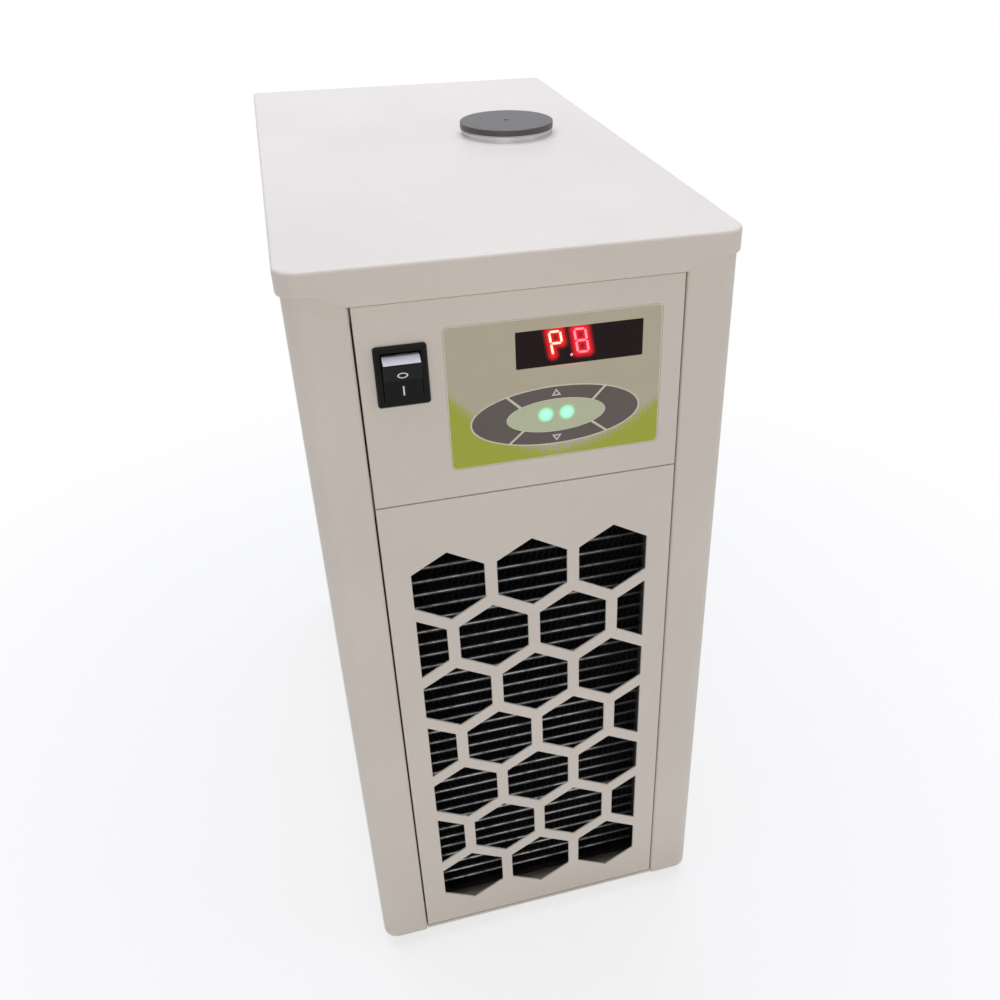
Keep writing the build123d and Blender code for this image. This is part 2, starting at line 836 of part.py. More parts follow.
# Shelf for the reservoir, over the fan's motor behind the middle of the condenser
core_foot_z = base_z + core_foot
core_height = (flat_tube_count - 1) * flat_tube_pitch
first_tube_z = core_foot_z + side_plate + flat_tube_pitch
core_top_z = first_tube_z + core_height + flat_tube_pitch
fan_z = (core_foot_z + core_top_z + side_plate) / 2
shelf_height = fan_z + fan_motor_diameter / 2 + shelf_clearance - base_z
shelf_top_z = base_z + shelf_height + sheet
shelf_front_y = front_y + shelf_depth
shelf_mid_y = (shelf_front_y + tray_rear_y) / 2
suction_x = compressor_x + suction_stub_offset_x
suction_y = compressor_y + suction_stub_offset_y
tank_front_y = front_y + tank_depth
tank_mid_y = tank_front_y + tank_length / 2
tank_rear_y = tank_front_y + tank_length
tank_outlet_y = tank_front_y + tank_outlet_inset
drain_y = tank_rear_y - tank_drain_inset
with BuildPart() as tank_shelf:
    with BuildSketch(level(shelf_height + sheet)):
        with Locations((0, shelf_mid_y)):
            Rectangle(2 * tray_half, tray_rear_y - shelf_front_y)
    extrude(amount=-shelf_flange)
    with BuildSketch(level(shelf_height)):
        with Locations((0, shelf_mid_y)):
            Rectangle(2 * (tray_half - sheet), tray_rear_y - shelf_front_y)
    extrude(amount=-shelf_flange, mode=Mode.SUBTRACT)
    with BuildSketch(level(shelf_height)):
        with Locations((pump_x, tank_outlet_y), (drain_x, drain_y)):
            Circle(stub_diameter / 2 + hose_wall + shelf_hole_gap)
        with Locations((suction_x, suction_y)):
            Circle(suction_diameter / 2 + shelf_hole_gap)
    extrude(amount=sheet, mode=Mode.SUBTRACT)
save(tank_shelf.part, "tank_shelf")

# Insulation jacket, and the reservoir that stands in it
jacket_width = tank_width + 2 * (insulation + fit_gap)
jacket_length = tank_length + 2 * (insulation + fit_gap)
tank_foot_z = shelf_top_z + insulation
tank_top_z = under_cover_z - tank_headroom
tank_height = tank_top_z - tank_foot_z
return_z = base_z + return_height
with BuildPart() as tank_insulation:
    with BuildSketch(Plane.XY.offset(shelf_top_z)):
        with Locations((filler_x, tank_mid_y)):
            RectangleRounded(jacket_width, jacket_length, tank_radius + insulation)
    extrude(amount=insulation + tank_height - insulation_top_gap)
    with BuildSketch(Plane.XY.offset(tank_foot_z)):
        with Locations((filler_x, tank_mid_y)):
            RectangleRounded(tank_width + 2 * fit_gap, tank_length + 2 * fit_gap, tank_radius + fit_gap)
    extrude(amount=tank_height, mode=Mode.SUBTRACT)
    with BuildSketch(Plane.XY.offset(shelf_top_z)):
        with Locations((pump_x, tank_outlet_y), (drain_x, drain_y)):
            Circle(stub_diameter / 2 + fit_gap)
    extrude(amount=insulation, mode=Mode.SUBTRACT)
    with BuildSketch(Plane.XZ.offset(-tank_rear_y)):
        with Locations((pump_x, return_z)):
            Circle(stub_diameter / 2 + fit_gap)
    extrude(amount=-2 * insulation, mode=Mode.SUBTRACT)
save(tank_insulation.part, "tank_insulation")

with BuildPart() as tank:
    with BuildSketch(Plane.XY.offset(tank_foot_z)):
        with Locations((filler_x, tank_mid_y)):
            RectangleRounded(tank_width, tank_length, tank_radius)
    extrude(amount=tank_height)
    with BuildSketch(Plane.XY.offset(tank_foot_z + tank_wall)):
        with Locations((filler_x, tank_mid_y)):
            RectangleRounded(tank_width - 2 * tank_wall, tank_length - 2 * tank_wall, tank_radius - tank_wall)
    extrude(amount=tank_height, mode=Mode.SUBTRACT)
    with BuildSketch(Plane.XY.offset(tank_foot_z)):
        with Locations((pump_x, tank_outlet_y), (drain_x, drain_y)):
            Circle(stub_diameter / 2)
    extrude(amount=-(insulation + sheet + stub_length))
    with BuildSketch(Plane.XY.offset(tank_foot_z + tank_wall)):
        with Locations((pump_x, tank_outlet_y), (drain_x, drain_y)):
            Circle(stub_bore / 2)
    extrude(amount=-(tank_wall + insulation + sheet + stub_length), mode=Mode.SUBTRACT)
    with BuildSketch(Plane.XZ.offset(-tank_rear_y)):
        with Locations((pump_x, return_z)):
            Circle(stub_diameter / 2)
    extrude(amount=-(insulation + stub_length))
    with BuildSketch(Plane.XZ.offset(-(tank_rear_y - tank_wall))):
        with Locations((pump_x, return_z)):
            Circle(stub_bore / 2)
    extrude(amount=-(tank_wall + insulation + stub_length), mode=Mode.SUBTRACT)
save(tank.part, "tank")

# Evaporator coil, a serpentine by the reservoir's rear wall with both ends led out at the top
lid_top_z = tank_top_z + tank_lid_sheet
coil_y = tank_rear_y - coil_inset
coil_left = filler_x - tank_width / 2 + coil_left_inset
coil_return = filler_x - tank_width / 2 + coil_return_inset
coil_right = filler_x + tank_width / 2 - coil_right_inset
riser_top_z = lid_top_z + riser_height
coil_pitch = (tank_height - coil_foot - coil_headroom) / (coil_run_count - 1)
coil_points = [(coil_left, coil_y, riser_top_z), (coil_left, coil_y, tank_foot_z + coil_foot)]
for run in range(coil_run_count):
    run_z = tank_foot_z + coil_foot + run * coil_pitch
    ends = (coil_return, coil_right) if run % 2 == 0 else (coil_right, coil_return)
    if run > 0:
        coil_points.append((ends[0], coil_y, run_z))
    coil_points.append((ends[1], coil_y, run_z))
coil_points.append((coil_right, coil_y, riser_top_z))
save(bent_tube(coil_points, coil_bend, coil_tube, coil_bore), "evaporator_coil")

# Reservoir lid with the neck's collar, and the probe that hangs through it
probe_x = filler_x - tank_width / 2 + probe_inset
probe_y = tank_front_y + probe_inset
with BuildPart() as tank_lid:
    with BuildSketch(Plane.XY.offset(tank_top_z)):
        with Locations((filler_x, tank_mid_y)):
            RectangleRounded(
                tank_width + 2 * tank_lid_margin, tank_length + 2 * tank_lid_margin, tank_radius
            )
    extrude(amount=tank_lid_sheet)
    with BuildSketch(Plane.XY.offset(lid_top_z)):
        with Locations((filler_x, filler_y)):
            Circle(neck_outer / 2 + fit_gap + collar_wall)
    extrude(amount=collar_height)
    with BuildSketch(Plane.XY.offset(lid_top_z)):
        with Locations((filler_x, filler_y)):
            Circle(neck_outer / 2 + fit_gap)
    extrude(amount=collar_height, mode=Mode.SUBTRACT)
    with BuildSketch(Plane.XY.offset(tank_top_z)):
        with Locations((filler_x, filler_y)):
            Circle(neck_bore / 2)
        with Locations((probe_x, probe_y)):
            Circle(probe_diameter / 2 + fit_gap)
        with Locations((coil_left, coil_y), (coil_right, coil_y)):
            Circle(coil_tube / 2 + fit_gap)
    extrude(amount=tank_lid_sheet, mode=Mode.SUBTRACT)
save(tank_lid.part, "tank_lid")

with BuildPart() as temperature_probe:
    with BuildSketch(Plane.XY.offset(lid_top_z)):
        with Locations((probe_x, probe_y)):
            RegularPolygon(probe_head / 2, 6, major_radius=False)
    extrude(amount=probe_head_height)
    with BuildSketch(Plane.XY.offset(lid_top_z)):
        with Locations((probe_x, probe_y)):
            Circle(probe_diameter / 2)
    extrude(amount=-probe_length)
save(temperature_probe.part, "temperature_probe")

# Condenser: two headers, flat tubes with round noses and the end plates, brazed as one
core_mid_depth = core_depth + core_thickness / 2
header_x = core_half_width + header_diameter / 2
header_y = front_y + core_mid_depth
with BuildPart() as condenser:
    with BuildSketch(Plane.XY.offset(tray_top_z)):
        with Locations((-header_x, header_y), (header_x, header_y)):
            Circle(header_diameter / 2)
    extrude(amount=core_top_z + header_cap - tray_top_z)
    fillet(condenser.edges().group_by(Axis.Z)[-1], header_edge)
    with BuildSketch(Plane.YZ):
        with Locations((header_y, first_tube_z + core_height / 2)):
            with GridLocations(0, flat_tube_pitch, 1, flat_tube_count):
                SlotOverall(core_thickness - 2 * tube_setback, flat_tube)
        with Locations((header_y, core_foot_z + side_plate / 2), (header_y, core_top_z + side_plate / 2)):
            Rectangle(core_thickness, side_plate)
    extrude(amount=core_half_width + side_plate, both=True)
save(condenser.part, "condenser")

with BuildPart() as condenser_fins:
    with BuildSketch(Plane.YZ):
        with Locations((header_y, first_tube_z + core_height / 2)):
            with GridLocations(0, flat_tube_pitch, 1, flat_tube_count + 1):
                Rectangle(core_thickness - 2 * fin_setback, flat_tube_pitch - flat_tube)
    extrude(amount=core_half_width - fit_gap, both=True)
save(condenser_fins.part, "condenser_fins")

# Fan shroud against the condenser's end plates
shroud_front_depth = core_depth + core_thickness
shroud_height = core_top_z + side_plate - core_foot_z
with BuildPart() as fan_shroud:
    with BuildSketch(facing(shroud_front_depth)):
        with Locations((0, fan_z)):
            Rectangle(2 * shroud_half_width, shroud_height)
    extrude(amount=-shroud_depth)
    with BuildSketch(facing(shroud_front_depth)):
        with Locations((0, fan_z)):
            Rectangle(2 * (shroud_half_width - shroud_sheet), shroud_height - 2 * shroud_sheet)
    extrude(amount=-(shroud_depth - shroud_sheet), mode=Mode.SUBTRACT)
    with BuildSketch(facing(shroud_front_depth + shroud_depth)):
        with Locations((0, fan_z)):
            Circle(orifice_diameter / 2 + shroud_sheet)
    extrude(amount=-shroud_collar)
    with BuildSketch(facing(shroud_front_depth + shroud_depth - shroud_sheet)):
        with Locations((0, fan_z)):
            Circle(orifice_diameter / 2)
    extrude(amount=-(shroud_collar + shroud_sheet), mode=Mode.SUBTRACT)
save(fan_shroud.part, "fan_shroud")

# Fan bracket, a bent strap whose feet stand on the shroud's back
bracket_foot_y = front_y + shroud_front_depth + shroud_depth
bracket_back_y = bracket_foot_y + bracket_reach
with BuildPart() as fan_bracket:
    with BuildSketch(Plane.YZ):
        with BuildLine():
            FilletPolyline(
                (bracket_foot_y, fan_z - bracket_half_height - bracket_foot),
                (bracket_foot_y, fan_z - bracket_half_height),
                (bracket_back_y, fan_z - bracket_half_height),
                (bracket_back_y, fan_z + bracket_half_height),
                (bracket_foot_y, fan_z + bracket_half_height),
                (bracket_foot_y, fan_z + bracket_half_height + bracket_foot),
                radius=bracket_bend,
            )
            offset(amount=bracket_sheet, side=Side.RIGHT)
        make_face()
    extrude(amount=bracket_width / 2, both=True)
    with BuildSketch(Plane.XZ.offset(-bracket_back_y)):
        with Locations((0, fan_z)):
            Circle(fan_boss_diameter / 2 + fit_gap)
    extrude(amount=-bracket_sheet, mode=Mode.SUBTRACT)
save(fan_bracket.part, "fan_bracket")

# Fan rotor: a cup hub, its shaft and twisted blades
hub_front_y = front_y + shroud_front_depth + hub_setback
hub_mid_y = hub_front_y + hub_depth / 2
tip_plane = sqrt((rotor_diameter / 2) ** 2 - (tip_chord / 2) ** 2)
root_plane = hub_diameter / 2 - hub_wall
motor_front_y = bracket_back_y
with BuildPart() as fan_rotor:
    with BuildSketch(Plane.XZ.offset(-hub_front_y)):
        with Locations((0, fan_z)):
            Circle(hub_diameter / 2)
    extrude(amount=-hub_depth)
    fillet(fan_rotor.edges().group_by(Axis.Y)[0], hub_wall)
    with BuildSketch(Plane.XZ.offset(-(hub_front_y + hub_wall))):
        with Locations((0, fan_z)):
            Circle(hub_diameter / 2 - 2 * hub_wall)
    extrude(amount=-hub_depth, mode=Mode.SUBTRACT)
    with BuildSketch(Plane.XZ.offset(-hub_front_y)):
        with Locations((0, fan_z)):
            Circle(fan_shaft_diameter / 2)
    extrude(amount=-(motor_front_y + fan_shaft_engagement - hub_front_y))
    for spoke in range(blade_count):
        turn = 2 * pi * spoke / blade_count
        outward = Plane(origin=(0, hub_mid_y, fan_z), x_dir=(0, 1, 0), z_dir=(cos(turn), 0, sin(turn)))
        with BuildSketch(outward.offset(root_plane)):
            Rectangle(fan_blade, root_chord, rotation=root_pitch_angle)
        with BuildSketch(outward.offset(tip_plane)):
            Rectangle(fan_blade, tip_chord, rotation=tip_pitch_angle)
        loft()
save(fan_rotor.part, "fan_rotor")

with BuildPart() as fan_motor:
    with BuildSketch(Plane.XZ.offset(-(motor_front_y + bracket_sheet))):
        with Locations((0, fan_z)):
            Circle(fan_motor_diameter / 2)
    extrude(amount=-fan_motor_length)
    fillet(fan_motor.edges().group_by(Axis.Y)[-1], fan_motor_edge)
    with BuildSketch(Plane.XZ.offset(-(motor_front_y + bracket_sheet))):
        with Locations((0, fan_z)):
            Circle(fan_boss_diameter / 2)
    extrude(amount=fan_boss_length)
    with BuildSketch(Plane.XZ.offset(-(motor_front_y + bracket_sheet - fan_boss_length))):
        with Locations((0, fan_z)):
            Circle(fan_shaft_diameter / 2 + shaft_fit)
    extrude(amount=-(fan_boss_length + fan_shaft_engagement), mode=Mode.SUBTRACT)
save(fan_motor.part, "fan_motor")

# Compressor: welded shell with its seam, mounting plate and two pipe stubs
plate_z = tray_top_z + grommet_height
shell_foot_z = tray_top_z + shell_clearance
shell_top_z = shell_foot_z + shell_height
discharge_x = compressor_x + discharge_stub_offset_x
discharge_y = compressor_y + discharge_stub_offset_y
stub_top_z = shell_top_z + pipe_stub_height
shell_radius = (shell_width - shell_end_flat) / 2
with BuildPart() as compressor:
    with BuildSketch(Plane.XY.offset(shell_foot_z)):
        with Locations((compressor_x, compressor_y)):
            RectangleRounded(shell_width, shell_length, shell_radius)
    extrude(amount=shell_height)
    fillet(compressor.faces().sort_by(Axis.Z)[-1].edges(), shell_top_edge)
    fillet(compressor.faces().sort_by(Axis.Z)[0].edges(), shell_bottom_edge)
    with BuildSketch(Plane.XY.offset(shell_foot_z + shell_seam_level)):
        with Locations((compressor_x, compressor_y)):
            RectangleRounded(
                shell_width + 2 * shell_seam, shell_length + 2 * shell_seam, shell_radius + shell_seam
            )
    extrude(amount=shell_seam_height)
    with BuildSketch(Plane.XY.offset(plate_z)):
        with Locations((compressor_x, compressor_y)):
            RectangleRounded(mount_plate_width, mount_plate_length, mount_plate_radius)
            with GridLocations(mount_spacing_x, mount_spacing_y, 2, 2):
                Circle(grommet_neck / 2 + fit_gap, mode=Mode.SUBTRACT)
    extrude(amount=mount_plate)
    with BuildSketch(Plane.XY.offset(shell_top_z - shell_top_edge)):
        with Locations((suction_x, suction_y)):
            Circle(suction_diameter / 2)
        with Locations((discharge_x, discharge_y)):
            Circle(discharge_diameter / 2)
    extrude(amount=stub_top_z - shell_top_z + shell_top_edge)
save(compressor.part, "compressor")

with BuildPart() as compressor_grommets:
    with BuildSketch(Plane.XY.offset(tray_top_z)):
        with Locations((compressor_x, compressor_y)):
            with GridLocations(mount_spacing_x, mount_spacing_y, 2, 2):
                Circle(grommet_diameter / 2)
    extrude(amount=grommet_height)
    with BuildSketch(Plane.XY.offset(plate_z)):
        with Locations((compressor_x, compressor_y)):
            with GridLocations(mount_spacing_x, mount_spacing_y, 2, 2):
                Circle(grommet_neck / 2)
    extrude(amount=mount_plate)
    with BuildSketch(Plane.XY.offset(plate_z + mount_plate)):
        with Locations((compressor_x, compressor_y)):
            with GridLocations(mount_spacing_x, mount_spacing_y, 2, 2):
                Circle(grommet_diameter / 2)
    extrude(amount=grommet_collar)
    with BuildSketch(Plane.XY.offset(tray_top_z)):
        with Locations((compressor_x, compressor_y)):
            with GridLocations(mount_spacing_x, mount_spacing_y, 2, 2):
                Circle(grommet_bore / 2)
    extrude(amount=grommet_height + mount_plate + grommet_collar, mode=Mode.SUBTRACT)
save(compressor_grommets.part, "compressor_grommets")

grommet_top_z = plate_z + mount_plate + grommet_collar
with BuildPart() as compressor_bolts:
    with BuildSketch(level(0)):
        with Locations((compressor_x, compressor_y)):
            with GridLocations(mount_spacing_x, mount_spacing_y, 2, 2):
                Circle(mount_bolt / 2)
    extrude(amount=grommet_top_z - base_z)
    with BuildSketch(Plane.XY.offset(grommet_top_z)):
        with Locations((compressor_x, compressor_y)):
            with GridLocations(mount_spacing_x, mount_spacing_y, 2, 2):
                RegularPolygon(bolt_head_diameter / 2, 6, major_radius=False)
    extrude(amount=bolt_head_height)
save(compressor_bolts.part, "compressor_bolts")

# Refrigerant pipes, from compressor to condenser, drier, evaporator and back
pipe_side_x = inner_half - pipe_wall_gap - discharge_diameter / 2
suction_points = [
    (coil_left, coil_y, riser_top_z),
    (coil_left, coil_y, lid_top_z + pipe_over_lid),
    (suction_x, coil_y, lid_top_z + pipe_over_lid),
    (suction_x, coil_y, stub_top_z),
]
save(bent_tube(suction_points, suction_bend, suction_diameter, suction_bore), "suction_pipe")

discharge_z = stub_top_z + discharge_rise + fit_gap
discharge_points = [
    (discharge_x, discharge_y, stub_top_z),
    (discharge_x, discharge_y, discharge_z),
    (-pipe_side_x, discharge_y - discharge_turn, discharge_z),
    (-pipe_side_x, header_y, discharge_z),
    (-pipe_side_x, header_y, base_z + header_inlet_height),
    (-(header_x + header_diameter / 2), header_y, base_z + header_inlet_height),
]
save(bent_tube(discharge_points, pipe_bend, discharge_diameter, discharge_bore), "discharge_pipe")

drier_y = front_y + drier_depth
drier_foot_z = base_z + drier_foot
drier_top_z = drier_foot_z + drier_length
liquid_points = [
    (header_x + header_diameter / 2, header_y, base_z + header_outlet_height),
    (drier_x, header_y, base_z + header_outlet_height),
    (drier_x, drier_y, base_z + header_outlet_height),
    (drier_x, drier_y, drier_foot_z),
]
save(bent_tube(liquid_points, pipe_bend, discharge_diameter, discharge_bore), "liquid_pipe")

with BuildPart() as filter_drier:
    with BuildSketch(Plane.XY.offset(drier_foot_z)):
        with Locations((drier_x, drier_y)):
            Circle(drier_diameter / 2)
    extrude(amount=drier_length)
    chamfer(filter_drier.edges().group_by(Axis.Z)[0], drier_shoulder)
    chamfer(filter_drier.edges().group_by(Axis.Z)[-1], drier_shoulder)
save(filter_drier.part, "filter_drier")

capillary_points = [
    (drier_x, drier_y, drier_top_z),
    (drier_x, drier_y, lid_top_z + capillary_over_lid),
    (coil_right, coil_y, lid_top_z + capillary_over_lid),
    (coil_right, coil_y, riser_top_z),
]
save(bent_tube(capillary_points, capillary_bend, capillary_diameter, capillary_diameter / 2), "capillary_tube")

# Circulation pump: head with its chamber, motor on a foot, impeller on the shaft
pump_z = base_z + pump_height
pump_y = front_y + pump_depth
pump_motor_y = pump_y + pump_head_length
chamber_y = pump_motor_y - chamber_length
with BuildPart() as pump_head:
    with BuildSketch(Plane.XZ.offset(-pump_y)):
        with Locations((pump_x, pump_z)):
            Circle(pump_head_diameter / 2)
    extrude(amount=-pump_head_length)
    with BuildSketch(Plane.XZ.offset(-pump_y)):
        with Locations((pump_x, pump_z)):
            Circle(stub_diameter / 2)
    extrude(amount=pump_nose)
    with BuildSketch(Plane.XY.offset(pump_z)):
        with Locations((pump_x, chamber_y + chamber_length / 2)):
            Circle(stub_diameter / 2)
    extrude(amount=pump_head_diameter / 2 + pump_outlet_rise)
    with BuildSketch(Plane.XZ.offset(-chamber_y)):
        with Locations((pump_x, pump_z)):
            Circle(chamber_diameter / 2)
    extrude(amount=-chamber_length, mode=Mode.SUBTRACT)
    with BuildSketch(Plane.XZ.offset(-chamber_y)):
        with Locations((pump_x, pump_z)):
            Circle(stub_bore / 2)
    extrude(amount=pump_head_length + pump_nose, mode=Mode.SUBTRACT)
    with BuildSketch(Plane.XY.offset(pump_z)):
        with Locations((pump_x, chamber_y + chamber_length / 2)):
            Circle(stub_bore / 2)
    extrude(amount=pump_head_diameter / 2 + pump_outlet_rise, mode=Mode.SUBTRACT)
save(pump_head.part, "pump_head")

impeller_y = pump_motor_y - impeller_side_gap
with BuildPart() as pump_impeller:
    with BuildSketch(Plane.XZ.offset(-impeller_y)):
        with Locations((pump_x, pump_z)):
            Circle(impeller_diameter / 2)
    extrude(amount=impeller_disc)
    with BuildSketch(Plane.XZ.offset(-(impeller_y - impeller_disc))):
        with Locations((pump_x, pump_z)):
            with PolarLocations((vane_inner + vane_outer) / 2, vane_count):
                Rectangle(vane_outer - vane_inner, vane_sheet)
    extrude(amount=vane_height)
    with BuildSketch(Plane.XZ.offset(-impeller_y)):
        with Locations((pump_x, pump_z)):
            Circle(pump_shaft_diameter / 2)
    extrude(amount=-(impeller_side_gap + pump_shaft_engagement))
save(pump_impeller.part, "pump_impeller")

with BuildPart() as pump_motor:
    with BuildSketch(Plane.XZ.offset(-pump_motor_y)):
        with Locations((pump_x, pump_z)):
            Circle(pump_motor_diameter / 2)
    extrude(amount=-pump_motor_length)
    fillet(pump_motor.edges().group_by(Axis.Y)[-1], pump_motor_edge)
    with BuildSketch(Plane.XY.offset(tray_top_z)):
        with Locations((pump_x, pump_motor_y + pump_motor_length / 2)):
            Rectangle(pump_foot_width, pump_foot_length)
    extrude(amount=pump_z - tray_top_z)
    with BuildSketch(Plane.XZ.offset(-pump_motor_y)):
        with Locations((pump_x, pump_z)):
            Circle(pump_shaft_diameter / 2 + shaft_fit)
    extrude(amount=-(pump_shaft_engagement + fit_gap), mode=Mode.SUBTRACT)
save(pump_motor.part, "pump_motor")

# Hoses, each pushed over the stubs at its ends
hose_bore = stub_diameter + 2 * hose_fit
hose_outer = hose_bore + 2 * hose_wall
stub_end_z = tank_foot_z - insulation - sheet - stub_length
hose_top_z = stub_end_z + hose_overlap
port_tail_y = back_y - sheet - port_tail
hose_end_y = port_tail_y + hose_overlap
supply_z = base_z + supply_height
drain_z = base_z + drain_height
pump_outlet_y = chamber_y + chamber_length / 2
pump_outlet_z = pump_z + pump_head_diameter / 2 + pump_outlet_rise
suction_hose_points = [
    (pump_x, tank_outlet_y, hose_top_z),
    (pump_x, tank_outlet_y, pump_z),
    (pump_x, pump_y - pump_nose + hose_overlap, pump_z),
]
save(bent_tube(suction_hose_points, suction_hose_bend, hose_outer, hose_bore), "suction_hose")

supply_hose_points = [
    (pump_x, pump_outlet_y, pump_outlet_z - hose_overlap),
    (pump_x, pump_outlet_y, supply_z),
    (pump_x, hose_end_y, supply_z),
]
save(bent_tube(supply_hose_points, hose_bend, hose_outer, hose_bore), "supply_hose")

drain_hose_points = [
    (drain_x, drain_y, hose_top_z),
    (drain_x, drain_y, drain_z),
    (drain_x, hose_end_y, drain_z),
]
save(bent_tube(drain_hose_points, hose_bend, hose_outer, hose_bore), "drain_hose")

return_hose_front_y = tank_rear_y + insulation + stub_length - hose_overlap
with BuildPart() as return_hose:
    with BuildSketch(Plane.XZ.offset(-return_hose_front_y)):
        with Locations((pump_x, return_z)):
            Circle(hose_outer / 2)
            Circle(hose_bore / 2, mode=Mode.SUBTRACT)
    extrude(amount=-(hose_end_y - return_hose_front_y))
save(return_hose.part, "return_hose")

# Supply and return ports: one threaded fitting made twice
port_places = [(pump_x, supply_z), (pump_x, return_z)]
with BuildPart() as hose_ports:
    with BuildSketch(Plane.XZ.offset(-back_y)):
        with Locations(*port_places):
            RegularPolygon(port_hexagon / 2, 6, major_radius=False)
    extrude(amount=-port_hexagon_height)
    with BuildSketch(Plane.XZ.offset(-back_y)):
        with Locations(*port_places):
            Circle(port_stub_diameter / 2)
    extrude(amount=-port_reach)
    chamfer(hose_ports.edges().group_by(Axis.Y)[-1].filter_by(GeomType.CIRCLE), port_edge)
    with BuildSketch(Plane.XZ.offset(-back_y)):
        with Locations(*port_places):
            Circle(port_stub_diameter / 2)
    extrude(amount=sheet)
    with BuildSketch(Plane.XZ.offset(-(back_y - sheet))):
        with Locations(*port_places):
            Circle(port_inner_flange / 2)
    extrude(amount=port_inner_flange_height)
    with BuildSketch(Plane.XZ.offset(-(back_y - sheet))):
        with Locations(*port_places):
            Circle(stub_diameter / 2)
    extrude(amount=port_tail)
    with BuildSketch(Plane.XZ.offset(-port_tail_y)):
        with Locations(*port_places):
            Circle(port_bore / 2)
    extrude(amount=-(port_tail + sheet + port_reach), mode=Mode.SUBTRACT)
save(hose_ports.part, "hose_ports")

# Drain valve and its lever, which lies across the outlet when shut
stem_y = back_y + valve_stem_depth
valve_top_z = drain_z + valve_diameter / 2 - valve_body_flat / 2
with BuildPart() as drain_valve:
    with BuildSketch(Plane.XZ.offset(-back_y)):
        with Locations((drain_x, drain_z)):
            Circle(valve_diameter / 2)
    extrude(amount=-(valve_reach - valve_spigot_length))
    with BuildSketch(Plane.XZ.offset(-back_y)):
        with Locations((drain_x, drain_z)):
            Circle(valve_spigot / 2)
    extrude(amount=-valve_reach)
    with BuildSketch(Plane.XZ.offset(-back_y)):
        with Locations((drain_x, drain_z)):
            Circle(stub_diameter / 2)
    extrude(amount=sheet + port_tail)
    with BuildSketch(Plane.XY.offset(valve_top_z)):
        with Locations((drain_x, stem_y)):
            Rectangle(2 * valve_diameter, 2 * valve_diameter)
    extrude(amount=valve_body_flat, mode=Mode.SUBTRACT)
    with BuildSketch(Plane.XY.offset(valve_top_z)):
        with Locations((drain_x, stem_y)):
            Circle(stem_diameter / 2 + stem_fit)
    extrude(amount=-(stem_length + fit_gap), mode=Mode.SUBTRACT)
save(drain_valve.part, "drain_valve")

lever_foot_z = valve_top_z + fit_gap
with BuildPart() as drain_lever:
    with BuildSketch(Plane.XY.offset(lever_foot_z)):
        with Locations((drain_x, stem_y)):
            Circle(lever_hub / 2)
    extrude(amount=lever_hub_height)
    with BuildSketch(Plane.XY.offset(lever_foot_z + lever_hub_height - lever_sheet)):
        with Locations((drain_x + lever_length / 2, stem_y)):
            SlotOverall(lever_length + lever_width, lever_width)
    extrude(amount=lever_sheet)
    with BuildSketch(Plane.XY.offset(lever_foot_z)):
        with Locations((drain_x, stem_y)):
            Circle(stem_diameter / 2)
    extrude(amount=-stem_length)
save(drain_lever.part, "drain_lever")

# Mains inlet and its three pins
inlet_z = base_z + inlet_height
pin_places = [
    (inlet_x - pin_spread / 2, inlet_z - pin_drop),
    (inlet_x + pin_spread / 2, inlet_z - pin_drop),
    (inlet_x, inlet_z + pin_drop),
]
inlet_floor_y = back_y - inlet_cavity_depth
inlet_rear_y = back_y - inlet_body_depth
with BuildPart() as power_inlet:
    with BuildSketch(Plane.XZ.offset(-back_y)):
        with Locations((inlet_x, inlet_z)):
            RectangleRounded(inlet_flange_width, inlet_flange_height, inlet_corner)
    extrude(amount=-inlet_flange)
    with BuildSketch(Plane.XZ.offset(-back_y)):
        with Locations((inlet_x, inlet_z)):
            RectangleRounded(inlet_body_width, inlet_body_height, inlet_corner)
    extrude(amount=inlet_body_depth)
    with BuildSketch(Plane.XZ.offset(-(back_y + inlet_flange))):
        with Locations((inlet_x, inlet_z)):
            RectangleRounded(inlet_cavity_width, inlet_cavity_height, inlet_corner / 2)
    extrude(amount=inlet_flange + inlet_cavity_depth, mode=Mode.SUBTRACT)
    with BuildSketch(Plane.XZ.offset(-inlet_floor_y)):
        with Locations(*pin_places):
            Rectangle(pin_width + 2 * pin_fit, pin_height + 2 * pin_fit)
    extrude(amount=inlet_body_depth, mode=Mode.SUBTRACT)
save(power_inlet.part, "power_inlet")

with BuildPart() as inlet_pins:
    with BuildSketch(Plane.XZ.offset(-(inlet_floor_y + pin_length))):
        with Locations(*pin_places):
            Rectangle(pin_width, pin_height)
    extrude(amount=pin_length + inlet_floor_y - inlet_rear_y + pin_tab)
save(inlet_pins.part, "inlet_pins")

# Back panel over the rear flanges, with two fields of vent slots
back_foot_z = base_z + back_inset
back_top_z = under_cover_z - fit_gap
screw_x = half_width - screw_inset
with BuildPart() as back_panel:
    with BuildSketch(Plane.XZ.offset(-back_y)):
        with Locations((0, (back_foot_z + back_top_z) / 2)):
            Rectangle(2 * (half_width - back_inset), back_top_z - back_foot_z)
        with Locations((vent_x, base_z + vent_lower_height), (vent_x, base_z + vent_upper_height)):
            with GridLocations(vent_pitch_x, vent_pitch_z, 2, vent_rows):
                SlotOverall(vent_length, vent_width, mode=Mode.SUBTRACT)
        with Locations(*port_places):
            Circle(port_stub_diameter / 2 + port_hole_gap, mode=Mode.SUBTRACT)
        with Locations((drain_x, drain_z)):
            Circle(stub_diameter / 2 + port_hole_gap, mode=Mode.SUBTRACT)
        with Locations((inlet_x, inlet_z)):
            Rectangle(inlet_body_width + 2 * fit_gap, inlet_body_height + 2 * fit_gap, mode=Mode.SUBTRACT)
        with Locations(*[(0, base_z + screw_row_foot + row * screw_row_pitch) for row in range(screw_rows)]):
            with GridLocations(2 * screw_x, 0, 2, 1):
                Circle(screw_hole / 2, mode=Mode.SUBTRACT)
    extrude(amount=sheet)
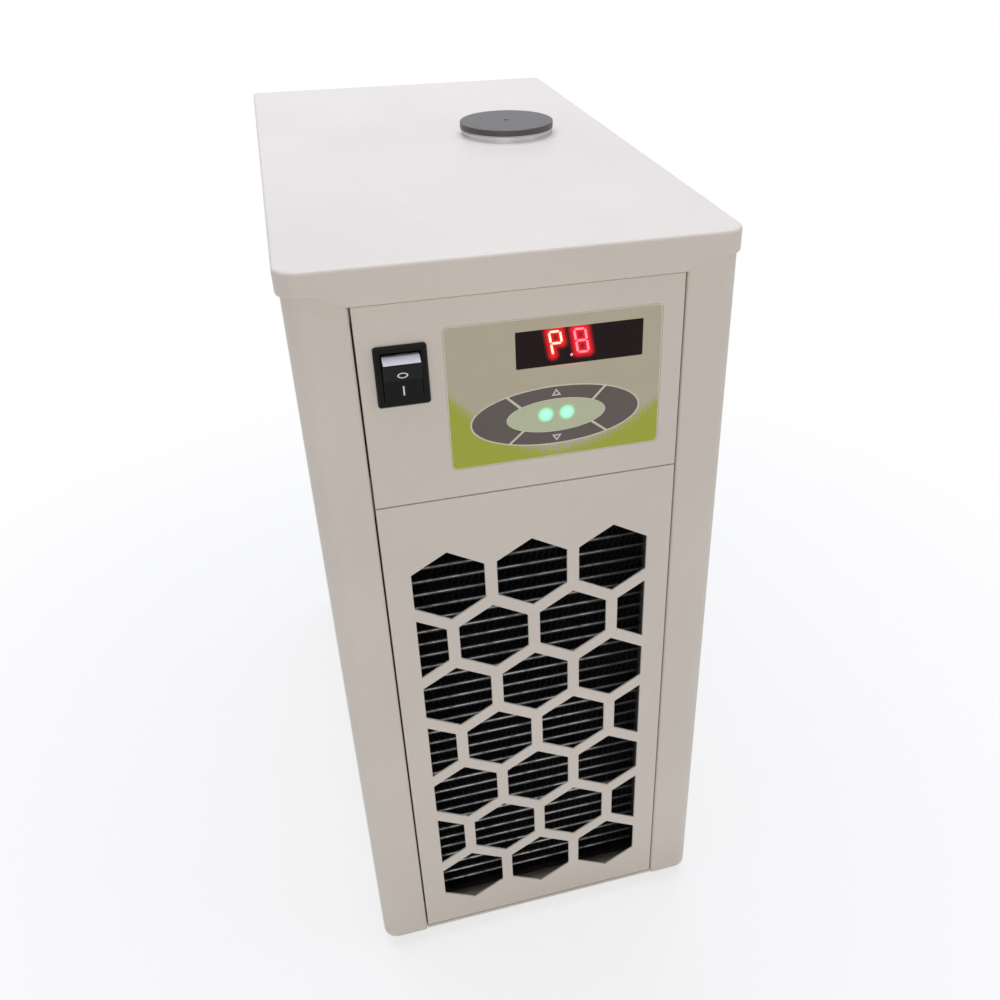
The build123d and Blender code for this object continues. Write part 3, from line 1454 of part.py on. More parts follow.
save(back_panel.part, "back_panel")

# Pan-head screws of one size, in the back panel and up through the feet
screw_head_plane = Plane.XZ.offset(-back_y)
screw_places = [
    (side * screw_x, base_z + screw_row_foot + row * screw_row_pitch)
    for side in (-1, 1)
    for row in range(screw_rows)
]
with BuildPart() as pan_screws:
    with BuildSketch(screw_head_plane):
        with Locations(*screw_places):
            Circle(screw_head / 2)
    extrude(amount=-screw_head_height)
    with BuildSketch(screw_head_plane):
        with Locations(*screw_places):
            Circle(screw_diameter / 2)
    extrude(amount=screw_length)
    with BuildSketch(Plane.XY.offset(foot_step)):
        with Locations((0, foot_mid_y)):
            with GridLocations(2 * foot_x, foot_rear_y - foot_front_y, 2, 2):
                Circle(screw_head / 2)
    extrude(amount=-screw_head_height)
    with BuildSketch(Plane.XY.offset(foot_step)):
        with Locations((0, foot_mid_y)):
            with GridLocations(2 * foot_x, foot_rear_y - foot_front_y, 2, 2):
                Circle(screw_diameter / 2)
    extrude(amount=screw_length)
save(pan_screws.part, "pan_screws")

# Control board on the shelf with its transformer, relays and capacitors
spacer_height = board_depth - control_sheet
control_board_y = front_y + control_board_depth
control_board_z = shelf_top_z + spacer_height
part_face_z = control_board_z + board_sheet
control_spacer_x = control_board_width - 2 * spacer_inset
control_spacer_y = control_board_length - 2 * spacer_inset
with BuildPart() as control_board:
    with BuildSketch(Plane.XY.offset(control_board_z)):
        with Locations((control_board_x, control_board_y)):
            Rectangle(control_board_width, control_board_length)
    extrude(amount=board_sheet)
    with BuildSketch(Plane.XY.offset(part_face_z)):
        with Locations((control_board_x, control_board_y + transformer_size)):
            Rectangle(transformer_size, transformer_size)
    extrude(amount=transformer_height)
    fillet(control_board.faces().sort_by(Axis.Z)[-1].edges(), transformer_edge)
    with BuildSketch(Plane.XY.offset(part_face_z)):
        with Locations((control_board_x, control_board_y - transformer_size)):
            with GridLocations(relay_pitch, relay_pitch, 2, 2):
                Rectangle(relay_width, relay_length)
    extrude(amount=relay_height)
    with BuildSketch(Plane.XY.offset(part_face_z)):
        with Locations((control_board_x, control_board_y)):
            with GridLocations(relay_pitch, 0, 2, 1):
                Circle(capacitor_diameter / 2)
    extrude(amount=capacitor_height)
save(control_board.part, "control_board")

# Spacers under the control board and behind the control panel, all of one size
with BuildPart() as board_spacers:
    with BuildSketch(facing(control_sheet)):
        with Locations((film_x, film_z)):
            with GridLocations(2 * spacer_x, 2 * spacer_z, 2, 2):
                Circle(spacer_diameter / 2)
    extrude(amount=-spacer_height)
    with BuildSketch(Plane.XY.offset(shelf_top_z)):
        with Locations((control_board_x, control_board_y)):
            with GridLocations(control_spacer_x, control_spacer_y, 2, 2):
                Circle(spacer_diameter / 2)
    extrude(amount=spacer_height)
save(board_spacers.part, "board_spacers")
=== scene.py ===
import logging
import math
from dataclasses import dataclass
from enum import Enum
from functools import reduce
from typing import Mapping, Sequence

import bmesh
import bpy
from mathutils import Matrix, Vector


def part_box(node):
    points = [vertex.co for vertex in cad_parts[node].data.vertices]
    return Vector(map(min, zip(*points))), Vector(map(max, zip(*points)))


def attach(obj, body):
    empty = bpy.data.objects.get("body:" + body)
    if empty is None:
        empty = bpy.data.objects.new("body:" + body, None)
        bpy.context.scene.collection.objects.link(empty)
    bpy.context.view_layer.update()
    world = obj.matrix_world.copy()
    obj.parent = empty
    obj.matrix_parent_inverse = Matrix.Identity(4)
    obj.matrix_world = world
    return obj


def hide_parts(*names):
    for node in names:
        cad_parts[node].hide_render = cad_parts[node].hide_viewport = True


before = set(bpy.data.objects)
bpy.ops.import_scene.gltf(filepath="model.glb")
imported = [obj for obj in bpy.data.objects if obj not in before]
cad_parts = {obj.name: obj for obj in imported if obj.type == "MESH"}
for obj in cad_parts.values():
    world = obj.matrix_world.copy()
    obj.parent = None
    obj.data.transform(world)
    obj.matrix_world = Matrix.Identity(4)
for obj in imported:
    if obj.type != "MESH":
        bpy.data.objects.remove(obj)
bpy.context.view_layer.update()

MM = 0.001

Colour = tuple[float, float, float]
Point = tuple[float, float]
Triple = tuple[float, float, float]

log = logging.getLogger("chiller")


def tone(red: int, green: int, blue: int) -> Colour:
    """Turn a screen colour into the linear one that a shader takes.

    Args:
        red: Red, 0 to 255.
        green: Green, 0 to 255.
        blue: Blue, 0 to 255.

    Returns:
        The linear colour.
    """
    return tuple(
        (part / 255 / 12.92) if part <= 10 else ((part / 255 + 0.055) / 1.055) ** 2.4
        for part in (red, green, blue)
    )


def shade(colour: Colour, factor: float) -> Colour:
    """A colour made lighter or darker by a factor."""
    return tuple(min(1.0, part * factor) for part in colour)


class Value:
    """A number that varies over a surface; arithmetic on it adds Math nodes."""

    def __init__(self, sheet: "NodeSheet", socket: bpy.types.NodeSocket) -> None:
        """Wrap an output socket of a tree."""
        self.sheet = sheet
        self.socket = socket

    def _math(self, operation: str, *terms: "Value | float") -> "Value":
        """Add one Math node over the terms and wrap its output."""
        made = self.sheet.node("ShaderNodeMath", {"operation": operation}, dict(enumerate(terms)))
        return Value(self.sheet, made.outputs[0])

    def __add__(self, other: "Value | float") -> "Value":
        """Sum."""
        return self._math("ADD", self, other)

    def __radd__(self, other: float) -> "Value":
        """Sum with the number first."""
        return self._math("ADD", other, self)

    def __sub__(self, other: "Value | float") -> "Value":
        """Difference."""
        return self._math("SUBTRACT", self, other)

    def __rsub__(self, other: float) -> "Value":
        """Difference with the number first."""
        return self._math("SUBTRACT", other, self)

    def __mul__(self, other: "Value | float") -> "Value":
        """Product."""
        return self._math("MULTIPLY", self, other)

    def __rmul__(self, other: float) -> "Value":
        """Product with the number first."""
        return self._math("MULTIPLY", other, self)

    def __truediv__(self, other: "Value | float") -> "Value":
        """Quotient."""
        return self._math("DIVIDE", self, other)

    def __rtruediv__(self, other: float) -> "Value":
        """Quotient with the number first."""
        return self._math("DIVIDE", other, self)

    def __pow__(self, other: float) -> "Value":
        """Power."""
        return self._math("POWER", self, other)

    def __abs__(self) -> "Value":
        """Absolute value."""
        return self._math("ABSOLUTE", self)

    def least(self, other: "Value | float") -> "Value":
        """The smaller of the two at each point."""
        return self._math("MINIMUM", self, other)

    def most(self, other: "Value | float") -> "Value":
        """The larger of the two at each point."""
        return self._math("MAXIMUM", self, other)

    def root(self) -> "Value":
        """Square root."""
        return self._math("SQRT", self)

    def hypot(self, other: "Value") -> "Value":
        """Length of the diagonal over the two."""
        return (self * self + other * other).root()

    def nearest(self) -> "Value":
        """The nearest whole number."""
        return self._math("ROUND", self)

    def whole(self) -> "Value":
        """The whole number below."""
        return self._math("FLOOR", self)

    def remainder(self, other: float) -> "Value":
        """What is left of a division."""
        return self._math("MODULO", self, other)

    def wave(self) -> "Value":
        """Sine."""
        return self._math("SINE", self)

    def step(self, low: float, high: float) -> "Value":
        """Smooth rise from 0 at low to 1 at high, or a fall where low is the larger.

        Args:
            low: Value at which the result is 0.
            high: Value at which the result is 1.

        Returns:
            The eased value.
        """
        start, end = (0.0, 1.0) if low < high else (1.0, 0.0)
        made = self.sheet.node(
            "ShaderNodeMapRange",
            {"interpolation_type": "SMOOTHSTEP"},
            {0: self, 1: min(low, high), 2: max(low, high), 3: start, 4: end},
        )
        return Value(self.sheet, made.outputs[0])


class NodeSheet:
    """A node tree, with the one way in which nodes are added."""

    def __init__(self, tree: bpy.types.NodeTree) -> None:
        """Empty the tree and keep it."""
        self.tree = tree
        self.tree.nodes.clear()

    def feed(self, socket: bpy.types.NodeSocket, value: object) -> None:
        """Link or set one input socket.

        Args:
            socket: The input.
            value: A wrapped value, an output socket, a number or a tuple.
        """
        if isinstance(value, Value):
            self.tree.links.new(value.socket, socket)
        elif isinstance(value, bpy.types.NodeSocket):
            self.tree.links.new(value, socket)
        elif isinstance(value, tuple) and len(value) == 3 and socket.type == "RGBA":
            socket.default_value = (*value, 1.0)
        else:
            socket.default_value = value

    def node(
        self,
        kind: str,
        settings: Mapping[str, object] | None = None,
        sockets: Mapping[str | int, object] | None = None,
    ) -> bpy.types.Node:
        """Add a node, set it up and feed its inputs.

        Args:
            kind: Blender's name of the node's type.
            settings: Attributes, set first.
            sockets: Values or links of the inputs, by name or number.

        Returns:
            The node.
        """
        made = self.tree.nodes.new(kind)
        for key, setting in (settings or {}).items():
            setattr(made, key, setting)
        for key, value in (sockets or {}).items():
            self.feed(made.inputs[key], value)
        return made


class FinishMaker(NodeSheet):
    """Builds one material's nodes round a Principled shader."""

    def __init__(self, name: str) -> None:
        """Make an empty material with its shader and output."""
        self.material = bpy.data.materials.new(name)
        self.material.use_nodes = True
        super().__init__(self.material.node_tree)
        self.output = self.node("ShaderNodeOutputMaterial")
        self.shader = self.node("ShaderNodeBsdfPrincipled")
        self.feed(self.output.inputs["Surface"], self.shader.outputs["BSDF"])

    def set(self, **sockets: object) -> None:
        """Feed the Principled shader; underscores in a name stand for spaces.

        Args:
            **sockets: Values by socket name, such as Base_Color.
        """
        for key, value in sockets.items():
            self.feed(self.shader.inputs[key.replace("_", " ")], value)

    def place(self, stretch: Triple = (1.0, 1.0, 1.0)) -> bpy.types.NodeSocket:
        """Object coordinates, stretched by a factor along each axis."""
        coordinates = self.node("ShaderNodeTexCoord")
        mapping = self.node(
            "ShaderNodeMapping",
            {"vector_type": "POINT"},
            {"Vector": coordinates.outputs["Object"], "Scale": stretch},
        )
        return mapping.outputs["Vector"]

    def axes(self, vector: bpy.types.NodeSocket) -> tuple[Value, Value, Value]:
        """Split a vector into its three numbers."""
        made = self.node("ShaderNodeSeparateXYZ", None, {0: vector})
        return tuple(Value(self, output) for output in made.outputs)

    def noise(self, size: float, detail: float = 2.0, vector: bpy.types.NodeSocket | None = None) -> Value:
        """Soft noise with grains of about the given size.

        Args:
            size: Size of a grain, in metres of the vector.
            detail: Octaves.
            vector: Coordinates, or None for plain Object ones.

        Returns:
            The noise, about 0 to 1.
        """
        made = self.node(
            "ShaderNodeTexNoise",
            {"noise_dimensions": "3D"},
            {"Vector": vector or self.place(), "Scale": 1.0 / size, "Detail": detail},
        )
        return Value(self, made.outputs[0])

    def specks(self, size: float) -> Value:
        """Distance to the nearest of many scattered points, spaced by a size in metres."""
        made = self.node(
            "ShaderNodeTexVoronoi", {"feature": "F1"}, {"Vector": self.place(), "Scale": 1.0 / size}
        )
        return Value(self, made.outputs["Distance"])

    def blend(self, share: Value | float, first: object, second: object) -> bpy.types.NodeSocket:
        """Mix two colours.

        Args:
            share: 0 for the first, 1 for the second.
            first: Colour or socket.
            second: Colour or socket.

        Returns:
            The colour socket.
        """
        made = self.node(
            "ShaderNodeMix", {"data_type": "RGBA", "clamp_factor": True}, {0: share, 6: first, 7: second}
        )
        return made.outputs[2]

    def bump(self, height: Value, depth: float) -> None:
        """Feed the shader's normal from a height.

        Args:
            height: Height, about 0 to 1.
            depth: What a height of 1 means, in metres.
        """
        made = self.node("ShaderNodeBump", None, {"Strength": 1.0, "Distance": depth, "Height": height})
        self.set(Normal=made.outputs["Normal"])


@dataclass(frozen=True)
class Finish:
    """What every finish shares: its name and how it becomes a material."""

    name: str

    def build(self) -> bpy.types.Material:
        """Make the material."""
        maker = FinishMaker(self.name)
        self.fill(maker)
        return maker.material

    def fill(self, maker: FinishMaker) -> None:
        """Add the finish's nodes; each finish has its own."""
        raise NotImplementedError


@dataclass(frozen=True)
class PowderCoat(Finish):
    """Baked powder paint: fine orange peel, faint clouds and dust towards the floor."""

    colour: Colour
    roughness: float = 0.46
    peel_size: float = 0.0012
    peel_depth: float = 0.000022
    cloud_size: float = 0.11
    dust: Colour = tone(150, 138, 118)
    dust_height: float = 0.05

    def fill(self, maker: FinishMaker) -> None:
        """Add the finish's nodes."""
        peel = maker.noise(self.peel_size, 2.0)
        grain = maker.noise(self.peel_size * 3, 1.0)
        cloud = maker.noise(self.cloud_size, 3.0)
        _, _, height = maker.axes(maker.place())
        base = maker.blend(cloud.step(0.3, 0.7), shade(self.colour, 0.965), shade(self.colour, 1.02))
        base = maker.blend(grain.step(0.3, 0.75) * 0.10, base, shade(self.colour, 0.86))
        settled = height.step(self.dust_height, 0.0) * cloud.step(0.25, 0.75)
        base = maker.blend(settled * 0.22, base, self.dust)
        maker.set(
            Base_Color=base,
            Roughness=self.roughness + (peel - 0.5) * 0.10 + settled * 0.2,
            Specular_IOR_Level=0.45,
        )
        maker.bump(peel + grain * 0.6, self.peel_depth)


@dataclass(frozen=True)
class Moulding(Finish):
    """Moulded plastic or rubber with a spark-eroded grain."""

    colour: Colour
    roughness: float = 0.5
    grain_size: float = 0.0006
    grain_depth: float = 0.00003
    worn: float = 0.12
    shine: float = 0.5

    def fill(self, maker: FinishMaker) -> None:
        """Add the finish's nodes."""
        grain = maker.noise(self.grain_size, 3.0)
        handled = maker.noise(0.02, 3.0)
        rubbed = shade(tuple(part + 0.02 for part in self.colour), 1.5)
        base = maker.blend(handled.step(0.35, 0.7) * self.worn, self.colour, rubbed)
        maker.set(
            Base_Color=base,
            Roughness=self.roughness + (grain - 0.5) * 0.16 + (handled - 0.5) * 0.12,
            Specular_IOR_Level=self.shine,
        )
        maker.bump(grain, self.grain_depth)


class Brushing(Enum):
    """The way in which a metal's scratches run."""

    NONE = (1.0, 1.0, 1.0)
    ALONG_X = (0.03, 1.0, 1.0)
    ALONG_Z = (1.0, 1.0, 0.03)
    ROUND_Z = (0.06, 0.06, 1.0)


@dataclass(frozen=True)
class BareMetal(Finish):
    """Drawn, rolled or turned metal with fine scratches and a little tarnish."""

    colour: Colour
    roughness: float = 0.3
    scratch_size: float = 0.0007
    scratch_depth: float = 0.000008
    brushing: Brushing = Brushing.NONE
    tarnish: Colour = (0.12, 0.10, 0.08)
    tarnished: float = 0.2

    def fill(self, maker: FinishMaker) -> None:
        """Add the finish's nodes."""
        scratches = maker.noise(self.scratch_size, 3.0, maker.place(stretch=self.brushing.value))
        patches = maker.noise(0.018, 4.0)
        base = maker.blend(patches.step(0.45, 0.8) * self.tarnished, self.colour, self.tarnish)
        maker.set(
            Base_Color=base,
            Metallic=1.0,
            Roughness=self.roughness + (scratches - 0.5) * 0.22 + patches.step(0.5, 0.8) * 0.15,
        )
        maker.bump(scratches, self.scratch_depth)


@dataclass(frozen=True)
class CorePaintAndHighlight(Finish):
    """Thin black paint, with a painted highlight along the upper edge of each tube's nose, faded by painted
    shade towards the right.
    """

    colour: Colour = (0.007, 0.007, 0.008)
    # Colour of the painted highlight on the tube noses.
    painted_highlight: Colour = (0.50, 0.51, 0.53)
    first_tube: float = 31.5 * MM
    tube_pitch: float = 9.0 * MM
    nose_y: float = -189.5068 * MM
    # Where painted shade starts to fade the highlight towards the right, and how far it reaches.
    shaded_side: float = 34.0 * MM
    shaded_reach: float = 24.0 * MM

    def fill(self, maker: FinishMaker) -> None:
        """Add the finish's nodes."""
        across, along, up = maker.axes(maker.place())
        row = (up - self.first_tube) / self.tube_pitch
        rise = (row - row.nearest()) * self.tube_pitch
        # Painted highlight: a pale, partly metallic band along the upper edge of each tube's nose, broken up
        # by noise.
        edge = rise.step(0.25 * MM, 0.5 * MM) * rise.step(1.05 * MM, 0.85 * MM)
        nose = along.step(self.nose_y + 2.2 * MM, self.nose_y + 0.9 * MM)
        patchiness = maker.noise(0.006, 3.0)
        painted_highlight = edge * nose * (0.35 + patchiness.step(0.3, 0.62) * 0.65)
        # Painted shade: the highlight fades out towards the right-hand side.
        painted_highlight = painted_highlight * (1.0 - across.step(self.shaded_side, self.shaded_side + self.shaded_reach) * 0.8)
        maker.set(
            Base_Color=maker.blend(painted_highlight, self.colour, self.painted_highlight),
            Metallic=painted_highlight * 0.5,
            Roughness=0.5 - painted_highlight * 0.12 + (patchiness - 0.5) * 0.15,
        )
        maker.bump(patchiness, 0.00004)


@dataclass(frozen=True)
class Foam(Finish):
    """Closed-cell insulation with its open skin of small cells."""

    colour: Colour = (0.02, 0.02, 0.021)
    cell_size: float = 0.0016

    def fill(self, maker: FinishMaker) -> None:
        """Add the finish's nodes."""
        cells = maker.specks(self.cell_size)
        base = maker.blend(cells.step(0.1, 0.6), shade(self.colour, 0.6), shade(self.colour, 1.8))
        maker.set(Base_Color=base, Roughness=0.85 + (cells - 0.4) * 0.1)
        maker.bump(cells, 0.00025)


@dataclass(frozen=True)
class Hose(Finish):
    """Milky hose with a woven braid under its skin."""

    colour: Colour = (0.62, 0.64, 0.60)
    thread_pitch: float = 0.004

    def fill(self, maker: FinishMaker) -> None:
        """Add the finish's nodes."""
        across, along, up = maker.axes(maker.place())
        turn = 2 * math.pi / self.thread_pitch
        one_way = ((across + along + up) * turn).wave()
        other_way = ((across - along + up) * turn).wave()
        braid = abs(one_way).most(abs(other_way)).step(0.93, 0.99)
        base = maker.blend(braid * 0.5, self.colour, shade(self.colour, 1.3))
        maker.set(Base_Color=base, Roughness=0.3 + braid * 0.15, Coat_Weight=0.3, Coat_Roughness=0.15)
        maker.bump(braid, 0.0001)


@dataclass(frozen=True)
class CircuitBoard(Finish):
    """Green board with paler tracks and small solder joints."""

    colour: Colour = (0.012, 0.09, 0.035)
    track_pitch: float = 0.0032

    def fill(self, maker: FinishMaker) -> None:
        """Add the finish's nodes."""
        across, along, up = maker.axes(maker.place())
        turn = 2 * math.pi / self.track_pitch
        region = maker.noise(0.016, 1.0).step(0.48, 0.52)
        upright = (across * turn).wave() * region
        level = ((along + up) * turn).wave() * (1.0 - region)
        rows = upright.most(level).step(0.55, 0.7)
        joints = maker.specks(self.track_pitch).step(0.22, 0.16)
        base = maker.blend(rows * 0.55, self.colour, shade(self.colour, 2.4))
        base = maker.blend(joints, base, (0.62, 0.62, 0.60))
        maker.set(Base_Color=base, Roughness=0.38 - joints * 0.1, Metallic=joints, Coat_Weight=0.3)
        maker.bump(rows * 0.4 + joints, 0.00008)


@dataclass(frozen=True)
class Glow(Finish):
    """A lit segment or lamp, a little uneven."""

    core: Colour
    strength: float

    def fill(self, maker: FinishMaker) -> None:
        """Add the finish's nodes."""
        flicker = maker.noise(0.0012, 1.0)
        lit = maker.blend(flicker.step(0.3, 0.7), shade(self.core, 0.9), self.core)
        maker.set(Base_Color=self.core, Roughness=0.4, Emission_Color=lit, Emission_Strength=self.strength)


@dataclass(frozen=True)
class FaceLayout:
    """Where things lie on the control face, in millimetres from the middle and from the floor."""

    front_y: float = -208.5068
    film_x: float = 14.6
    film_z: float = 412.05
    film_width: float = 109.2
    film_height: float = 77.1
    film_radius: float = 3.0
    film_depth: float = 0.1
    film_sheet: float = 0.4
    window_x: float = 26.85
    window_z: float = 434.25
    window_width: float = 64.3
    window_height: float = 19.1
    ring_x: float = 14.5
    ring_z: float = 397.1
    ring_outer: Point = (43.15, 15.75)
    ring_inner: Point = (25.85, 9.35)
    digit_pitch: float = 12.6
    digit_x: float = 14.9
    digit_z: float = 436.2
    digit_half: Point = (2.75, 6.1)
    digit_lean: float = -0.17
    point_at: Point = (22.5, 429.2)
    lamp_z: float = 398.0
    lamp_pitch: float = 11.0


LAYOUT = FaceLayout()


class Segment(Enum):
    """The bars of a seven-segment digit, each from one corner to another."""

    TOP = ((-1, 1), (1, 1))
    UPPER_LEFT = ((-1, 1), (-1, 0))
    UPPER_RIGHT = ((1, 1), (1, 0))
    MIDDLE = ((-1, 0), (1, 0))
    LOWER_LEFT = ((-1, 0), (-1, -1))
    LOWER_RIGHT = ((1, 0), (1, -1))
    BOTTOM = ((-1, -1), (1, -1))


@dataclass(frozen=True)
class Digit:
    """One lit digit: its place in the row and the bars that shine."""

    place: int
    bars: tuple[Segment, ...]

    def ends(self, layout: FaceLayout, bar: Segment) -> tuple[Point, Point]:
        """Both ends of a bar's middle line, in millimetres.

        Args:
            layout: The control face.
            bar: The bar.

        Returns:
            The two ends as (x, z).
        """
        half_width, half_height = layout.digit_half
        middle = layout.digit_x + self.place * layout.digit_pitch
        return tuple(
            (middle + u * half_width + layout.digit_lean * v * half_height, layout.digit_z + v * half_height)
            for u, v in bar.value
        )


SHOWN_DIGITS = (
    Digit(0, (Segment.TOP, Segment.UPPER_LEFT, Segment.UPPER_RIGHT, Segment.MIDDLE, Segment.LOWER_LEFT)),
    Digit(1, tuple(Segment)),
)


@dataclass(frozen=True)
class SmokedFilter(Finish):
    """Dark red display filter with the digits' light spread in it."""

    layout: FaceLayout
    colour: Colour = (0.012, 0.004, 0.004)
    near: Colour = (1.0, 0.010, 0.018)
    reach: float = 4.2 * MM
    halo: float = 1.0

    def fill(self, maker: FinishMaker) -> None:
        """Add the finish's nodes."""
        across, _, up = maker.axes(maker.place())
        distances = [
            self._distance(across, up, *digit.ends(self.layout, bar))
            for digit in SHOWN_DIGITS for bar in digit.bars
        ]
        glow = reduce(Value.least, distances).step(self.reach, 0.2 * MM) ** 1.35
        haze = maker.noise(0.004, 2.0)
        maker.set(
            Base_Color=maker.blend(haze * 0.3, self.colour, shade(self.colour, 2.0)),
            Roughness=0.22 + (haze - 0.5) * 0.06,
            Specular_IOR_Level=0.12,
            Emission_Color=maker.blend(glow, (0.0, 0.0, 0.0), self.near),
            Emission_Strength=self.halo,
        )

    def _distance(self, across: Value, up: Value, start: Point, end: Point) -> Value:
        """Distance from a surface point to a line between two points.

        Args:
            across: The surface point's x.
            up: The surface point's z.
            start: One end, in millimetres.
            end: The other end, in millimetres.

        Returns:
            The distance in metres.
        """
        ax, az = start[0] * MM, start[1] * MM
        dx, dz = (end[0] - start[0]) * MM, (end[1] - start[1]) * MM
        along = ((across - ax) * dx + (up - az) * dz) / (dx * dx + dz * dz)
        along = along.most(0.0).least(1.0)
        off_x = across - ax - along * dx
        off_z = up - az - along * dz
        return off_x.hypot(off_z)


@dataclass(frozen=True)
class PrintedFilm(Finish):
    """Keypad film: plain ground, a dotted fade into green, pale rings round the keys and lit lamps."""

    layout: FaceLayout
    ground: Colour
    green: Colour
    pale: Colour
    inner: Colour
    lamp: Colour = (0.02, 0.90, 0.48)
    dot_pitch: float = 1.9 * MM
    fade: float = 10.0 * MM
    border: float = 0.45 * MM
    green_top: float = 378.2 * MM
    green_reach: float = 54.0 * MM
    left_rise: float = 38.0 * MM
    right_rise: float = 22.0 * MM

    def fill(self, maker: FinishMaker) -> None:
        """Add the finish's nodes."""
        across, _, up = maker.axes(maker.place())
        mottle = maker.noise(0.02, 3.0)
        fine = maker.noise(0.0005, 2.0)
        base = maker.blend(mottle, shade(self.ground, 0.97), shade(self.ground, 1.03))
        base = maker.blend(self._green_share(across, up), base, self.green)
        base = maker.blend(self._edge(across, up), base, self.pale)
        outside = self._ellipse(across, up, self.layout.ring_outer, 0.75)
        base = maker.blend(outside.step(1.012, 0.995), base, self.pale)
        inside = self._ellipse(across, up, self.layout.ring_inner, -0.55)
        base = maker.blend(inside.step(1.02, 0.985), base, self.inner)
        glow, core = self._lamp_light(across, up)
        lit = maker.blend(core, self.lamp, (0.16, 1.0, 0.66))
        emission = maker.blend(glow, (0.0, 0.0, 0.0), lit)
        spill = self._window_spill(across, up)
        emission = maker.blend(spill, emission, (0.30, 0.02, 0.015))
        maker.set(
            Base_Color=base,
            Roughness=0.42 + (fine - 0.5) * 0.12,
            Emission_Color=emission,
            Emission_Strength=1.0,
        )
        maker.bump(fine, 0.00001)

    def _edge(self, across: Value, up: Value) -> Value:
        """Share of the thin pale line round the film's edge."""
        layout = self.layout
        radius = layout.film_radius * MM
        right = abs(across - layout.film_x * MM) - (layout.film_width / 2 * MM - radius)
        rise = abs(up - layout.film_z * MM) - (layout.film_height / 2 * MM - radius)
        corner = (right.most(0.0) ** 2.0 + rise.most(0.0) ** 2.0).root() + right.most(rise).least(0.0)
        return corner.step(radius - self.border * 1.3, radius - self.border * 0.8)

    def _ellipse(self, across: Value, up: Value, axes: Point, grow: float) -> Value:
        """Distance from the ring's centre as a share of a grown ellipse, 1 on its line."""
        right = (across - self.layout.ring_x * MM) / ((axes[0] + grow) * MM)
        rise = (up - self.layout.ring_z * MM) / ((axes[1] + grow) * MM)
        return right.hypot(rise)

    def _green_share(self, across: Value, up: Value) -> Value:
        """Share of green: full low down, breaking into dots towards a hollow curve."""
        right = (across - self.layout.ring_x * MM) / self.green_reach
        left_arm = (0.0 - right).most(0.0) ** 1.75 * self.left_rise
        right_arm = right.most(0.0) ** 2.0 * self.right_rise
        border = left_arm + right_arm + self.green_top
        below = (border - up) / self.fade + 0.35
        turn = 2 * math.pi / self.dot_pitch * 0.7071
        dots = (((across + up) * turn).wave() * ((across - up) * turn).wave()) * 0.5 + 0.5
        return (below.most(0.0).least(1.0) * 1.1 - dots).step(-0.05, 0.05)

    def _lamp_light(self, across: Value, up: Value) -> tuple[Value, Value]:
        """Halo and core of the two lamps that are lit."""
        rise = (up - self.layout.lamp_z * MM) / MM
        places = [self.layout.ring_x + side * self.layout.lamp_pitch for side in (-0.5, 0.5)]
        halo = reduce(Value.least, [((across - place * MM) / MM).hypot(rise) for place in places])
        return halo.step(4.9, 1.8), halo.step(2.6, 0.6)

    def _window_spill(self, across: Value, up: Value) -> Value:
        """Red light that the digits spill on the film just above and below the window."""
        layout = self.layout
        edge = layout.window_height / 2
        right = abs(across - (layout.digit_x + layout.digit_pitch / 2) * MM) / MM
        rise = abs(up - layout.window_z * MM) / MM
        return right.step(13.0, 4.0) * rise.step(edge + 2.6, edge - 0.5) * 0.5


